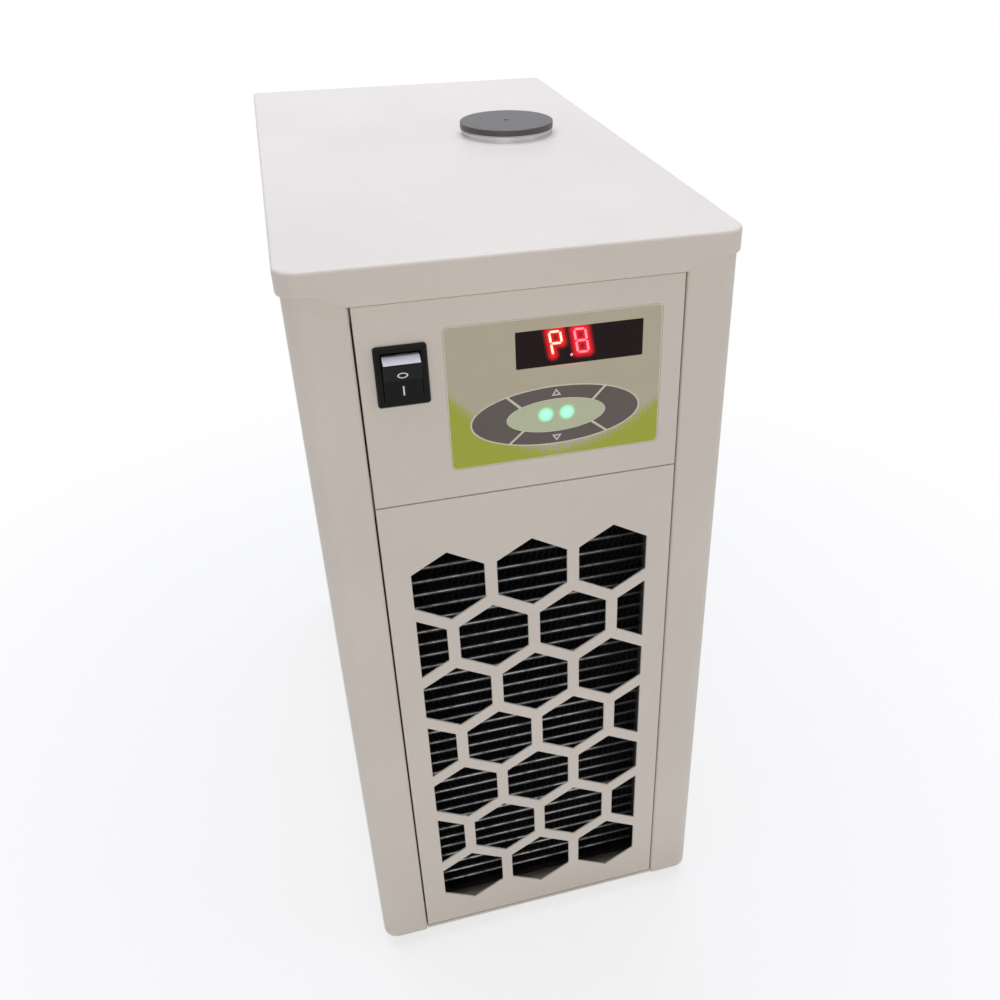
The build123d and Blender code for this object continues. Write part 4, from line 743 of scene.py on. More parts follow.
class Pattern(NodeSheet):
    """A Geometry Nodes tree with named inputs, and its result as a plain mesh."""

    def __init__(self, name: str, sizes: Mapping[str, float | int]) -> None:
        """Start a tree.

        Args:
            name: The tree's name.
            sizes: The named inputs and their values.
        """
        super().__init__(bpy.data.node_groups.new(name, "GeometryNodeTree"))
        self.name = name
        self.sizes = sizes
        face = self.tree.interface
        for way in ("INPUT", "OUTPUT"):
            face.new_socket("Geometry", in_out=way, socket_type="NodeSocketGeometry")
        self.keys = {}
        for label, size in sizes.items():
            kind = "NodeSocketInt" if isinstance(size, int) else "NodeSocketFloat"
            self.keys[label] = face.new_socket(label, in_out="INPUT", socket_type=kind).identifier
        self.source = self.node("NodeGroupInput")
        self.sink = self.node("NodeGroupOutput")

    def size(self, label: str) -> Value:
        """A named input."""
        return Value(self, self.source.outputs[label])

    def lift(self, height: Value) -> bpy.types.NodeSocket:
        """An offset straight up."""
        return self.node("ShaderNodeCombineXYZ", None, {2: height}).outputs[0]

    def copies(
        self, points: bpy.types.NodeSocket, shape: bpy.types.NodeSocket, **more: object
    ) -> bpy.types.NodeSocket:
        """Stand a shape on each point.

        Args:
            points: Where the copies stand.
            shape: What is copied.
            **more: Values of other inputs, such as Rotation.

        Returns:
            The copies.
        """
        sockets = {"Points": points, "Instance": shape, **more}
        return self.node("GeometryNodeInstanceOnPoints", None, sockets).outputs[0]

    def end(self, geometry: bpy.types.NodeSocket, finish: bpy.types.Material) -> None:
        """Close the tree with Realize Instances and Set Material.

        Args:
            geometry: What the tree has made.
            finish: Its material.
        """
        real = self.node("GeometryNodeRealizeInstances", None, {0: geometry}).outputs[0]
        dressed = self.node("GeometryNodeSetMaterial", None, {"Geometry": real, "Material": finish})
        self.feed(self.sink.inputs[0], dressed.outputs[0])

    def bake(self, carrier_mesh: bpy.types.Mesh, name: str) -> bpy.types.Object:
        """Run the tree on a mesh.

        Args:
            carrier_mesh: The mesh that the tree starts from.
            name: Name of the piece.

        Returns:
            A plain mesh object.
        """
        carrier = bpy.data.objects.new(name + "_carrier", carrier_mesh)
        bpy.context.scene.collection.objects.link(carrier)
        modifier = carrier.modifiers.new(self.name, "NODES")
        modifier.node_group = self.tree
        for label, key in self.keys.items():
            modifier[key] = self.sizes[label]
        evaluated = carrier.evaluated_get(bpy.context.evaluated_depsgraph_get())
        mesh = bpy.data.meshes.new_from_object(evaluated)
        mesh.name = name
        carrier.modifiers.remove(modifier)
        bpy.data.objects.remove(carrier)
        return piece_from(mesh, name)


def piece_from(mesh: bpy.types.Mesh, name: str) -> bpy.types.Object:
    """Put a mesh in the scene under a name."""
    made = bpy.data.objects.new(name, mesh)
    bpy.context.scene.collection.objects.link(made)
    return made


def points_mesh(name: str, places: Sequence[Triple]) -> bpy.types.Mesh:
    """A mesh of loose points, given in millimetres, for a pattern to stand on."""
    mesh = bpy.data.meshes.new(name)
    mesh.from_pydata([Vector(place) * MM for place in places], [], [])
    return mesh


class Draft:
    """Collects a piece's faces, in metres, and closes them into an object."""

    def __init__(self) -> None:
        """Start empty."""
        self.mesh = bmesh.new()

    def prism(self, outline: Sequence[Vector], rise: Vector) -> None:
        """Add a closed prism.

        Args:
            outline: Corners of one end, in order.
            rise: Offset to the other end.
        """
        lower = [self.mesh.verts.new(corner) for corner in outline]
        upper = [self.mesh.verts.new(corner + rise) for corner in outline]
        self.mesh.faces.new(lower)
        self.mesh.faces.new(list(reversed(upper)))
        count = len(lower)
        for spot in range(count):
            after = (spot + 1) % count
            self.mesh.faces.new((lower[spot], upper[spot], upper[after], lower[after]))

    def lathe(
        self, profile: Sequence[Point], centre: Vector, axis: Vector, around: int, closed: bool = False
    ) -> None:
        """Add a turned shape.

        Args:
            profile: Radius and place along the axis, in metres; a radius of 0 closes an end.
            centre: Point where the axis measure is 0.
            axis: Unit direction of the axis.
            around: Steps round the axis.
            closed: True if the profile's ends join, as on a ring.
        """
        side = axis.orthogonal().normalized()
        other = axis.cross(side)
        rings = []
        for radius, along in profile:
            if radius <= 0:
                rings.append([self.mesh.verts.new(centre + axis * along)])
                continue
            rings.append([
                self.mesh.verts.new(
                    centre + axis * along
                    + side * (radius * math.cos(2 * math.pi * spot / around))
                    + other * (radius * math.sin(2 * math.pi * spot / around))
                )
                for spot in range(around)
            ])
        pairs = list(zip(rings, rings[1:])) + ([(rings[-1], rings[0])] if closed else [])
        for first, second in pairs:
            for spot in range(around):
                after = (spot + 1) % around
                if len(first) == 1:
                    self.mesh.faces.new((first[0], second[after], second[spot]))
                elif len(second) == 1:
                    self.mesh.faces.new((first[spot], first[after], second[0]))
                else:
                    self.mesh.faces.new((first[spot], first[after], second[after], second[spot]))

    def close(self, name: str, smooth_below: float = 35.0) -> bpy.types.Object:
        """Merge, turn the faces outwards and make the object.

        Args:
            name: Name of the piece.
            smooth_below: Edges flatter than this many degrees are shaded smooth.

        Returns:
            The object.
        """
        bmesh.ops.remove_doubles(self.mesh, verts=self.mesh.verts, dist=1e-7)
        bmesh.ops.recalc_face_normals(self.mesh, faces=self.mesh.faces)
        for face in self.mesh.faces:
            face.smooth = True
        limit = math.radians(smooth_below)
        for edge in self.mesh.edges:
            edge.smooth = edge.is_manifold and edge.calc_face_angle(math.pi) < limit
        made = bpy.data.meshes.new(name)
        self.mesh.to_mesh(made)
        self.mesh.free()
        return piece_from(made, name)


def rounded_rectangle(
    x: float, z: float, width: float, height: float, radius: float, steps: int = 6
) -> list[Point]:
    """Corners of a rounded rectangle, anticlockwise.

    Args:
        x: Middle across.
        z: Middle up.
        width: Width.
        height: Height.
        radius: Corner radius.
        steps: Steps in each corner.

    Returns:
        The points.
    """
    points = []
    corners = ((1, 1, 0), (-1, 1, 90), (-1, -1, 180), (1, -1, 270))
    for right, up, start in corners:
        for step in range(steps + 1):
            turn = math.radians(start + 90 * step / steps)
            points.append((
                x + right * (width / 2 - radius) + radius * math.cos(turn),
                z + up * (height / 2 - radius) + radius * math.sin(turn),
            ))
    return points


def face_plate(
    name: str, loops: Sequence[Sequence[Point]], front: float, back: float, bevel: float = 0.0
) -> bpy.types.Object:
    """A thin plate parallel to the cabinet's front, with holes.

    Args:
        name: Name of the piece.
        loops: The outline and then its holes, as (x, z) in millimetres.
        front: The plate's front, in millimetres behind the cabinet's front face.
        back: The plate's back, likewise.
        bevel: Rounding of its edges, in millimetres.

    Returns:
        The object, in place.
    """
    curve = bpy.data.curves.new(name + "_outline", "CURVE")
    curve.dimensions = "2D"
    curve.fill_mode = "BOTH"
    curve.extrude = ((back - front) / 2 - bevel) * MM
    curve.bevel_depth = bevel * MM
    curve.bevel_resolution = 1
    curve.offset = -bevel * MM
    for loop in loops:
        spline = curve.splines.new("POLY")
        spline.points.add(len(loop) - 1)
        for point, (x, z) in zip(spline.points, loop):
            point.co = (x * MM, z * MM, 0.0, 1.0)
        spline.use_cyclic_u = True
    carrier = bpy.data.objects.new(name + "_carrier", curve)
    bpy.context.scene.collection.objects.link(carrier)
    evaluated = carrier.evaluated_get(bpy.context.evaluated_depsgraph_get())
    mesh = bpy.data.meshes.new_from_object(evaluated)
    bpy.data.objects.remove(carrier)
    middle = (LAYOUT.front_y + (front + back) / 2) * MM
    mesh.transform(Matrix.Translation((0, middle, 0)) @ Matrix.Rotation(math.pi / 2, 4, "X"))
    draft = Draft()
    draft.mesh.from_mesh(mesh)
    bpy.data.meshes.remove(mesh)
    return draft.close(name, 30.0)


class Finishes:
    """Every finish of the chiller, built once."""

    def __init__(self) -> None:
        """Build the materials."""
        self.paint = PowderCoat("warm_grey_paint", tone(220, 212, 200)).build()
        self.film = PrintedFilm(
            "keypad_print",
            LAYOUT,
            ground=tone(190, 182, 158),
            green=tone(166, 178, 50),
            pale=tone(222, 218, 198),
            inner=tone(194, 202, 168),
        ).build()
        self.window = SmokedFilter("display_filter", LAYOUT).build()
        self.key = Moulding("key_print", tone(92, 85, 79), 0.45, 0.0005, 0.00001, 0.08).build()
        self.key_mark = Moulding("key_mark", tone(214, 210, 196), 0.5, 0.0005, 0.00001, 0.05).build()
        self.digit_bright = Glow("lit_segment_bright", (1.0, 0.62, 0.42), 1.1).build()
        self.digit_soft = Glow("lit_segment_soft", (0.95, 0.20, 0.27), 0.9).build()
        self.gloss_black = Moulding(
            "gloss_black", (0.004, 0.004, 0.004), 0.3, 0.001, 0.000004, worn=0.05, shine=0.14
        ).build()
        self.satin_black = Moulding("satin_black", (0.010, 0.010, 0.011), 0.45).build()
        self.cap_black = Moulding("cap_plastic", tone(62, 60, 59), 0.42, 0.0007, 0.00004, 0.25).build()
        self.rubber = Moulding("rubber", (0.012, 0.012, 0.012), 0.72, 0.0004, 0.00003, 0.2).build()
        self.switch_mark = Moulding("switch_mark", tone(225, 225, 222), 0.5, 0.0005, 0.00001, 0.05).build()
        self.switch_flash = BareMetal(
            "switch_flash", (0.66, 0.66, 0.70), 0.45, 0.0009, 0.00003, tarnished=0.1
        ).build()
        self.silicone = Moulding("silicone", tone(232, 232, 230), 0.55, 0.0008, 0.00001, 0.05).build()
        self.stainless = BareMetal("stainless", (0.58, 0.57, 0.56), 0.28, brushing=Brushing.ALONG_Z).build()
        self.turned = BareMetal("turned_steel", (0.55, 0.55, 0.56), 0.32, brushing=Brushing.ROUND_Z).build()
        self.zinc = BareMetal("zinc_plate", (0.60, 0.61, 0.63), 0.34, brushing=Brushing.ALONG_X).build()
        self.copper = BareMetal(
            "copper", (0.86, 0.42, 0.27), 0.3, tarnish=(0.16, 0.07, 0.04), tarnished=0.5
        ).build()
        self.nickel = BareMetal("nickel", (0.66, 0.62, 0.54), 0.24, tarnished=0.15).build()
        self.brass = BareMetal("brass", (0.78, 0.55, 0.22), 0.3).build()
        # Black condenser paint with a painted highlight on the tube noses.
        self.core_paint_and_highlight = CorePaintAndHighlight("condenser_paint_and_highlight").build()
        self.fin_black = Moulding("fin_black", (0.007, 0.007, 0.008), 0.6, 0.0012, 0.00004, 0.35).build()
        self.enamel = PowderCoat(
            "black_enamel", (0.013, 0.013, 0.014), 0.32, dust=(0.05, 0.048, 0.044)
        ).build()
        self.foam = Foam("foam").build()
        self.hose = Hose("hose").build()
        self.board = CircuitBoard("board").build()
        self.lamp = Glow("lamp_lens", (0.10, 0.85, 0.60), 0.6).build()
        self.red = Moulding("red_plastic", tone(176, 24, 18), 0.4, 0.0008, 0.00002, 0.1).build()


@dataclass
class Assembly:
    """What every sub-assembly shares: the finishes and the way a piece is put in."""

    finishes: Finishes

    def dress(self, finish: bpy.types.Material, *nodes: str) -> None:
        """Give CAD nodes their material.

        Args:
            finish: The material.
            *nodes: The nodes' names.
        """
        for node in nodes:
            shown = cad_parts[node]
            shown.data.materials.clear()
            shown.data.materials.append(finish)
            log.info("dressed %s in %s", node, finish.name)

    def put(
        self,
        piece: bpy.types.Object,
        body: str,
        slot: str,
        finish: bpy.types.Material,
        replaces: str = "",
    ) -> None:
        """slot: The record's material slot; not used.
            finish: Its material.
            replaces: The CAD node that it stands for, or nothing.
        """
        piece.data.materials.clear()
        piece.data.materials.append(finish)
        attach(piece, body)
        if replaces:
            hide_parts(replaces)
        log.info("made %s on %s, %d faces", piece.name, body, len(piece.data.polygons))


@dataclass
class Cabinet(Assembly):
    """Painted sheet-metal shell, its inner rails, feet and screws."""

    screw_head: float = 7.6
    screw_height: float = 2.6
    screw_shank: float = 3.8
    screw_length: float = 9.0
    slot_width: float = 1.3
    slot_reach: float = 2.4
    slot_depth: float = 1.3
    back_rows: int = 4
    back_first_z: float = 34.0
    back_row_pitch: float = 142.0
    foot_x: float = 81.5
    rear_foot_y: float = 147.4932

    def build(self) -> None:
        """Dress the panels and make the screws."""
        self.dress(
            self.finishes.paint,
            "top_cover", "left_side_panel", "right_side_panel", "control_panel", "grille_panel", "back_panel",
            "base_tray",
        )
        self.dress(self.finishes.zinc, "cross_rails", "tank_shelf", "fan_bracket")
        self.dress(self.finishes.rubber, "rubber_feet")
        self.build_screws()

    def build_screws(self) -> None:
        """Stand a cross-recessed pan screw on each place, at the back and under the feet."""
        low, high = (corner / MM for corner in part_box("pan_screws"))
        back_x = (high.x - low.x - self.screw_head) / 2
        backs = [
            (side * back_x, high.y - self.screw_height, self.back_first_z + row * self.back_row_pitch)
            for side in (-1, 1) for row in range(self.back_rows)
        ]
        feet = [
            (side * self.foot_x, y, low.z + self.screw_height)
            for side in (-1, 1) for y in (low.y + self.screw_head / 2, self.rear_foot_y)
        ]
        for name, places, turn in (("back", backs, -math.pi / 2), ("foot", feet, math.pi)):
            pattern = Pattern(f"{name}_screw_rows", {"Scale": 1.0})
            head = self.screw_shape()
            info = pattern.node("GeometryNodeObjectInfo", None, {"Object": head})
            stood = pattern.copies(
                pattern.source.outputs["Geometry"],
                info.outputs["Geometry"],
                Rotation=(turn, 0.0, 0.0),
                Scale=pattern.size("Scale"),
            )
            pattern.end(stood, self.finishes.zinc)
            screws = pattern.bake(points_mesh(f"{name}_screw_places", places), f"{name}_screws")
            bpy.data.objects.remove(head)
            self.put(screws, "cabinet", "zinc_steel", self.finishes.zinc, "pan_screws")

    def screw_shape(self) -> bpy.types.Object:
        """One pan screw, head up along Z with the head's underside at 0."""
        draft = Draft()
        radius, height = self.screw_head / 2 * MM, self.screw_height * MM
        shank, length = self.screw_shank / 2 * MM, self.screw_length * MM
        arm, half = self.slot_reach * MM, self.slot_width / 2 * MM
        floor = height - self.slot_depth * MM
        profile = [
            (0.0, -length), (shank, -length), (shank, 0.0), (radius, 0.0), (radius, height * 0.45),
            (radius * 0.95, height * 0.72), (radius * 0.82, height * 0.93), (arm * 1.25, height),
        ]
        draft.lathe(profile, Vector((0, 0, 0)), Vector((0, 0, 1)), 24)
        ring = [vertex for vertex in draft.mesh.verts if abs(vertex.co.z - height) < 1e-9]
        ring.sort(key=lambda vertex: math.atan2(vertex.co.y, vertex.co.x))
        cross = []
        for quarter in range(4):
            turn = Matrix.Rotation(quarter * math.pi / 2, 2)
            for x, y in ((arm, -half), (arm, half), (half, half)):
                spot = turn @ Vector((x, y))
                cross.append(Vector((spot.x, spot.y, height)))
        upper = [draft.mesh.verts.new(corner) for corner in cross]
        lower = [draft.mesh.verts.new(Vector((corner.x * 0.8, corner.y * 0.8, floor))) for corner in cross]
        edges = [draft.mesh.edges.new((upper[spot], upper[(spot + 1) % 12])) for spot in range(12)]
        draft.mesh.edges.ensure_lookup_table()
        rim_edges = [edge for edge in draft.mesh.edges if all(vertex in ring for vertex in edge.verts)]
        bmesh.ops.triangle_fill(draft.mesh, use_beauty=True, use_dissolve=False, edges=edges + rim_edges)
        inner = [
            face for face in draft.mesh.faces
            if all(abs(vertex.co.z - height) < 1e-9 for vertex in face.verts)
            and self._in_cross(face.calc_center_median(), arm, half)
        ]
        bmesh.ops.delete(draft.mesh, geom=inner, context="FACES_ONLY")
        for spot in range(12):
            after = (spot + 1) % 12
            draft.mesh.faces.new((upper[spot], upper[after], lower[after], lower[spot]))
        draft.mesh.faces.new(lower)
        return draft.close("screw_shape", 40.0)

    @staticmethod
    def _in_cross(centre: Vector, arm: float, half: float) -> bool:
        """True if a point lies in the cross recess."""
        narrow, wide = sorted((abs(centre.x), abs(centre.y)))
        return narrow < half and wide < arm


@dataclass
class ControlFace(Assembly):
    """Keypad film with its raised keys, the display and the lamps."""

    layout: FaceLayout = LAYOUT
    key_rise: float = 0.12
    key_depth: float = 0.12
    key_gap: float = 0.08
    separator: float = 0.8
    bar_width: float = 1.15
    bar_gap: float = 0.28
    bar_sheet: float = 0.06
    window_gap: float = 0.2
    arc_steps: int = 28
    arrow_outside: tuple[Point, ...] = ((-2.5, -1.7), (2.5, -1.7), (0.0, 2.0))
    arrow_inside: tuple[Point, ...] = ((-1.2, -1.0), (1.2, -1.0), (0.0, 0.75))
    outer_turns: tuple[float, ...] = (54.0, 125.2, 235.6, 307.4)
    inner_turns: tuple[float, ...] = (42.3, 135.7, 227.9, 316.6)

    def build(self) -> None:
        """Make the film, its keys and marks, the window and the digits."""
        layout = self.layout
        keys = {"right": 3, "up": 0, "left": 1, "down": 2}
        loops = {name: self.key_outline(first, 0.0) for name, first in keys.items()}
        film_loops = [
            rounded_rectangle(
                layout.film_x, layout.film_z, layout.film_width, layout.film_height, layout.film_radius
            ),
            rounded_rectangle(
                layout.window_x,
                layout.window_z,
                layout.window_width + 2 * self.window_gap,
                layout.window_height + 2 * self.window_gap,
                0.4,
                2,
            ),
        ] + [self.key_outline(first, self.key_gap) for first in keys.values()]
        film_back = layout.film_depth + layout.film_sheet
        film = face_plate("keypad_overlay", film_loops, layout.film_depth, film_back)
        self.put(film, "cabinet", "printed_film", self.finishes.film, "keypad_film")
        for name, loop in loops.items():
            key = face_plate(f"key_{name}_cap", [loop], -self.key_rise, self.key_depth, 0.05)
            self.put(key, f"key_{name}", "printed_film", self.finishes.key)
        for name, turn, z in (("up", 1, layout.ring_z + 12.8), ("down", -1, layout.ring_z - 12.7)):
            triangles = [
                [(layout.ring_x + x, z + turn * up) for x, up in corners]
                for corners in (self.arrow_outside, self.arrow_inside)
            ]
            mark = face_plate(f"key_{name}_arrow", triangles, -self.key_rise - 0.03, -self.key_rise + 0.02)
            self.put(mark, f"key_{name}", "printed_film", self.finishes.key_mark)
        self.build_digits()
        self.dress(self.finishes.window, "display_window")
        self.dress(self.finishes.board, "display_board")
        self.dress(self.finishes.brass, "board_spacers")
        self.dress(self.finishes.lamp, "status_lamps")
        self.dress(
            self.finishes.satin_black,
            "display_module", "key_switches", *(f"key_plunger_{name}" for name in keys),
        )

    def key_outline(self, first: int, grow: float) -> list[Point]:
        """Outline of one key: a stretch of the ring between two separators.

        Args:
            first: Number of the separator where the key starts, anticlockwise.
            grow: How far the outline moves outwards, in millimetres.

        Returns:
            The points, in millimetres.
        """
        layout = self.layout
        second = (first + 1) % 4
        points = []
        for axes, turns, side in (
            (layout.ring_outer, self.outer_turns, 1),
            (layout.ring_inner, self.inner_turns, -1),
        ):
            start, end = turns[first], turns[second]
            end += 360.0 if end < start else 0.0
            wide, tall = axes[0] + side * grow, axes[1] + side * grow
            start += math.degrees((self.separator - grow) / self._speed(wide, tall, turns[first]))
            end -= math.degrees((self.separator - grow) / self._speed(wide, tall, turns[second]))
            arc = []
            for step in range(self.arc_steps + 1):
                angle = math.radians(start + (end - start) * step / self.arc_steps)
                arc.append((layout.ring_x + wide * math.cos(angle), layout.ring_z + tall * math.sin(angle)))
            points += arc if side > 0 else arc[::-1]
        return points

    @staticmethod
    def _speed(wide: float, tall: float, turn: float) -> float:
        """Millimetres that a point on an ellipse moves in one radian of its turn."""
        angle = math.radians(turn)
        return math.hypot(wide * math.sin(angle), tall * math.cos(angle))

    def build_digits(self) -> None:
        """Make the lit bars and the point."""
        for digit, finish, name in (
            (SHOWN_DIGITS[0], self.finishes.digit_bright, "digit_first"),
            (SHOWN_DIGITS[1], self.finishes.digit_soft, "digit_second"),
        ):
            draft = Draft()
            for bar in digit.bars:
                start, end = digit.ends(self.layout, bar)
                self.add_bar(draft, Vector(start), Vector(end))
            if digit.place == 1:
                x, z = self.layout.point_at
                draft.prism(self._on_face(rounded_rectangle(x, z, 1.5, 1.5, 0.7, 4)), self._proud())
            self.put(draft.close(name), "cabinet", "dark_filter", finish)

    def add_bar(self, draft: Draft, start: Vector, end: Vector) -> None:
        """Add one pointed bar.

        Args:
            draft: The digit's draft.
            start: One end of its middle line, in millimetres.
            end: The other end.
        """
        along = (end - start).normalized()
        across = Vector((-along.y, along.x)) * (self.bar_width / 2)
        tip = along * self.bar_gap
        shoulder = along * (self.bar_gap + self.bar_width / 2)
        corners = (
            start + tip, start + shoulder + across, end - shoulder + across,
            end - tip, end - shoulder - across, start + shoulder - across,
        )
        draft.prism(self._on_face([tuple(corner) for corner in corners]), self._proud())

    def _proud(self) -> Vector:
        """How far the lit bars stand out."""
        return Vector((0, -self.bar_sheet * MM, 0))

    def _on_face(self, points: Sequence[Point]) -> list[Vector]:
        """Points of the window's face, just inside it."""
        y = self.layout.front_y + self.layout.film_depth + 0.03
        return [Vector((x, y, z)) * MM for x, z in points]


@dataclass
class PowerSwitch(Assembly):
    """Rocker switch with its marks and its pale upper flash."""

    x: float = -60.35
    z: float = 429.35
    pivot_depth: float = 4.0
    swing: float = 12.0
    face_reach: float = 9.0
    half_length: float = 10.5
    tail: float = 1.3
    tail_reach: float = 1.5
    width: float = 18.2
    mark_sheet: float = 0.05

    def build(self) -> None:
        """Dress the switch and add what is printed on it."""
        self.dress(self.finishes.gloss_black, "switch_housing", "switch_rocker")
        self.put(self.flash(), "rocker", "gloss_black", self.finishes.switch_flash)
        self.put(self.ring_mark(), "rocker", "gloss_black", self.finishes.switch_mark)
        self.put(self.bar_mark(), "rocker", "gloss_black", self.finishes.switch_mark)

    def spot(self, reach: float, rise: float, x: float = 0.0) -> Vector:
        """A point given in the rocker's own section.

        Args:
            reach: Distance from the pivot outwards, in millimetres.
            rise: Distance from the pivot upwards, in millimetres.
            x: Distance from the switch's middle to the right, in millimetres.

        Returns:
            The point in the shared frame, in metres.
        """
        turn = math.radians(self.swing)
        y = LAYOUT.front_y + self.pivot_depth - reach * math.cos(turn) - rise * math.sin(turn)
        z = self.z - reach * math.sin(turn) + rise * math.cos(turn)
        return Vector((self.x + x, y, z)) * MM

    def face_point(self, share: float, x: float, lift: float) -> Vector:
        """A point on the rocker's face.

        Args:
            share: 0 at the middle, 1 at the upper end, -1 at the lower end.
            x: Distance from the switch's middle, in millimetres.
            lift: Height above the face, in millimetres.

        Returns:
            The point in metres.
        """
        turn = math.radians(self.swing)
        valley = self.face_reach - self.half_length * math.tan(turn)
        reach = valley + (self.face_reach - valley) * abs(share)
        rise = self.half_length * share
        slope = math.copysign(math.atan2(self.face_reach - valley, self.half_length), share)
        return self.spot(reach + lift * math.cos(slope), rise - lift * math.sin(slope), x)

    def flash(self) -> bpy.types.Object:
        """The pale plate set in the rocker's upper end, which shows while the switch is on."""
        draft = Draft()
        inset, lift = 0.35, 0.04
        half = self.width / 2 - inset
        low = (self.face_reach - 0.3, self.half_length + 0.05)
        high = (self.tail_reach + 0.6, self.half_length + self.tail - 0.1)
        corners = [self.spot(*end, x) for end, x in ((low, -half), (low, half), (high, half), (high, -half))]
        normal = (corners[1] - corners[0]).cross(corners[2] - corners[1]).normalized()
        upward = normal if normal.z > 0 else -normal
        draft.prism([corner - upward * (lift * MM) for corner in corners], upward * (3 * lift * MM))
        return draft.close("switch_flash")

    def ring_mark(self) -> bpy.types.Object:
        """The open ring on the upper half."""
        draft = Draft()
        steps, share, wide, tall = 40, 0.33, (2.55, 1.85), (1.9, 1.25)
        outer, inner = [], []
        for step in range(steps):
            turn = 2 * math.pi * step / steps
            for ring, (right, up) in ((outer, (wide[0], tall[0])), (inner, (wide[1], tall[1]))):
                x, rise = right * math.cos(turn), up * math.sin(turn)
                place = share + rise / self.half_length
                ring.append((
                    draft.mesh.verts.new(self.face_point(place, x, self.mark_sheet)),
                    draft.mesh.verts.new(self.face_point(place, x, -self.mark_sheet)),
                ))
        for step in range(steps):
            after = (step + 1) % steps
            (a, a_low), (b, b_low) = outer[step], outer[after]
            (c, c_low), (d, d_low) = inner[step], inner[after]
            for face in (
                (a, b, d, c), (a_low, c_low, d_low, b_low), (a, a_low, b_low, b), (c, d, d_low, c_low),
            ):
                draft.mesh.faces.new(face)
        return draft.close("switch_off_mark")

    def bar_mark(self) -> bpy.types.Object:
        """The upright bar on the lower half."""
        draft = Draft()
        half, high, low = 0.38, -0.28, -0.73
        corners = [
            self.face_point(share, x, -self.mark_sheet)
            for share, x in ((high, -half), (high, half), (low, half), (low, -half))
        ]
        rise = self.face_point(high, 0.0, self.mark_sheet) - self.face_point(high, 0.0, -self.mark_sheet)
        draft.prism(corners, rise)
        return draft.close("switch_on_mark")


@dataclass
class FillerMouth(Assembly):
    """Filler neck, gasket and screw cap."""

    def build(self) -> None:
        """Dress the pieces."""
        self.dress(self.finishes.turned, "filler_neck")
        self.dress(self.finishes.silicone, "cap_gasket")
        self.dress(self.finishes.cap_black, "filler_cap")


@dataclass
class CondenserUnit(Assembly):
    """Condenser with corrugated fins, and the fan behind it."""

    fold_pitch: float = 1.9
    foil: float = 0.12
    tube_pitch: float = 9.0
    tube: float = 2.0
    rows: int = 36

    def build(self) -> None:
        """Dress the core and the fan, and make the fins."""
        self.dress(self.finishes.core_paint_and_highlight, "condenser")
        self.dress(self.finishes.enamel, "fan_shroud", "fan_motor")
        self.dress(self.finishes.satin_black, "fan_rotor")
        self.build_fins()

    def build_fins(self) -> None:
        """Fold one strip of foil between each pair of tubes."""
        low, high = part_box("condenser_fins")
        width, depth = high.x - low.x, high.y - low.y
        pattern = Pattern(
            "folded_fins",
            {
                "Width": width,
                "Depth": depth,
                "Folds": int(width / (self.fold_pitch * MM)),
                "Gap": (self.tube_pitch - self.tube - self.foil) * MM,
                "Rows": self.rows,
                "Pitch": self.tube_pitch * MM,
            },
        )
        strip = pattern.node(
            "GeometryNodeMeshGrid",
            None,
            {
                "Size X": pattern.size("Width"),
                "Size Y": pattern.size("Depth"),
                "Vertices X": pattern.size("Folds") + 1,
                "Vertices Y": 2,
            },
        )
        index = Value(pattern, pattern.node("GeometryNodeInputIndex").outputs[0])
        column = ((index + 0.1) / 2.0).whole()
        rise = (column.remainder(2.0) - 0.5) * pattern.size("Gap")
        folded = pattern.node(
            "GeometryNodeSetPosition", None, {"Geometry": strip.outputs["Mesh"], "Offset": pattern.lift(rise)}
        )
        rows = pattern.node(
            "GeometryNodeMeshLine",
            {"mode": "OFFSET"},
            {"Count": pattern.size("Rows"), "Offset": pattern.lift(pattern.size("Pitch"))},
        )
        first = low.z + (self.tube_pitch - self.tube) / 2 * MM
        moved = pattern.node(
            "GeometryNodeTransform",
            None,
            {
                "Geometry": pattern.copies(rows.outputs[0], folded.outputs["Geometry"]),
                "Translation": ((low.x + high.x) / 2, (low.y + high.y) / 2, first),
            },
        )
        pattern.end(moved.outputs[0], self.finishes.fin_black)
        fins = pattern.bake(points_mesh("fin_start", [(0.0, 0.0, 0.0)]), "folded_fins")
        wall = fins.modifiers.new("foil", "SOLIDIFY")
        wall.thickness = self.foil * MM
        wall.offset = 0.0
        self.put(fins, "cabinet", "black_aluminium", self.finishes.fin_black, "condenser_fins")


@dataclass
class RefrigerantLoop(Assembly):
    """Compressor, pipes, drier and evaporator."""

    def build(self) -> None:
        """Dress the pieces."""
        self.dress(self.finishes.enamel, "compressor")
        self.dress(self.finishes.rubber, "compressor_grommets")
        self.dress(self.finishes.zinc, "compressor_bolts")
        self.dress(self.finishes.stainless, "evaporator_coil")
        self.dress(
            self.finishes.copper,
            "filter_drier", "discharge_pipe", "liquid_pipe", "capillary_tube", "suction_pipe",
        )


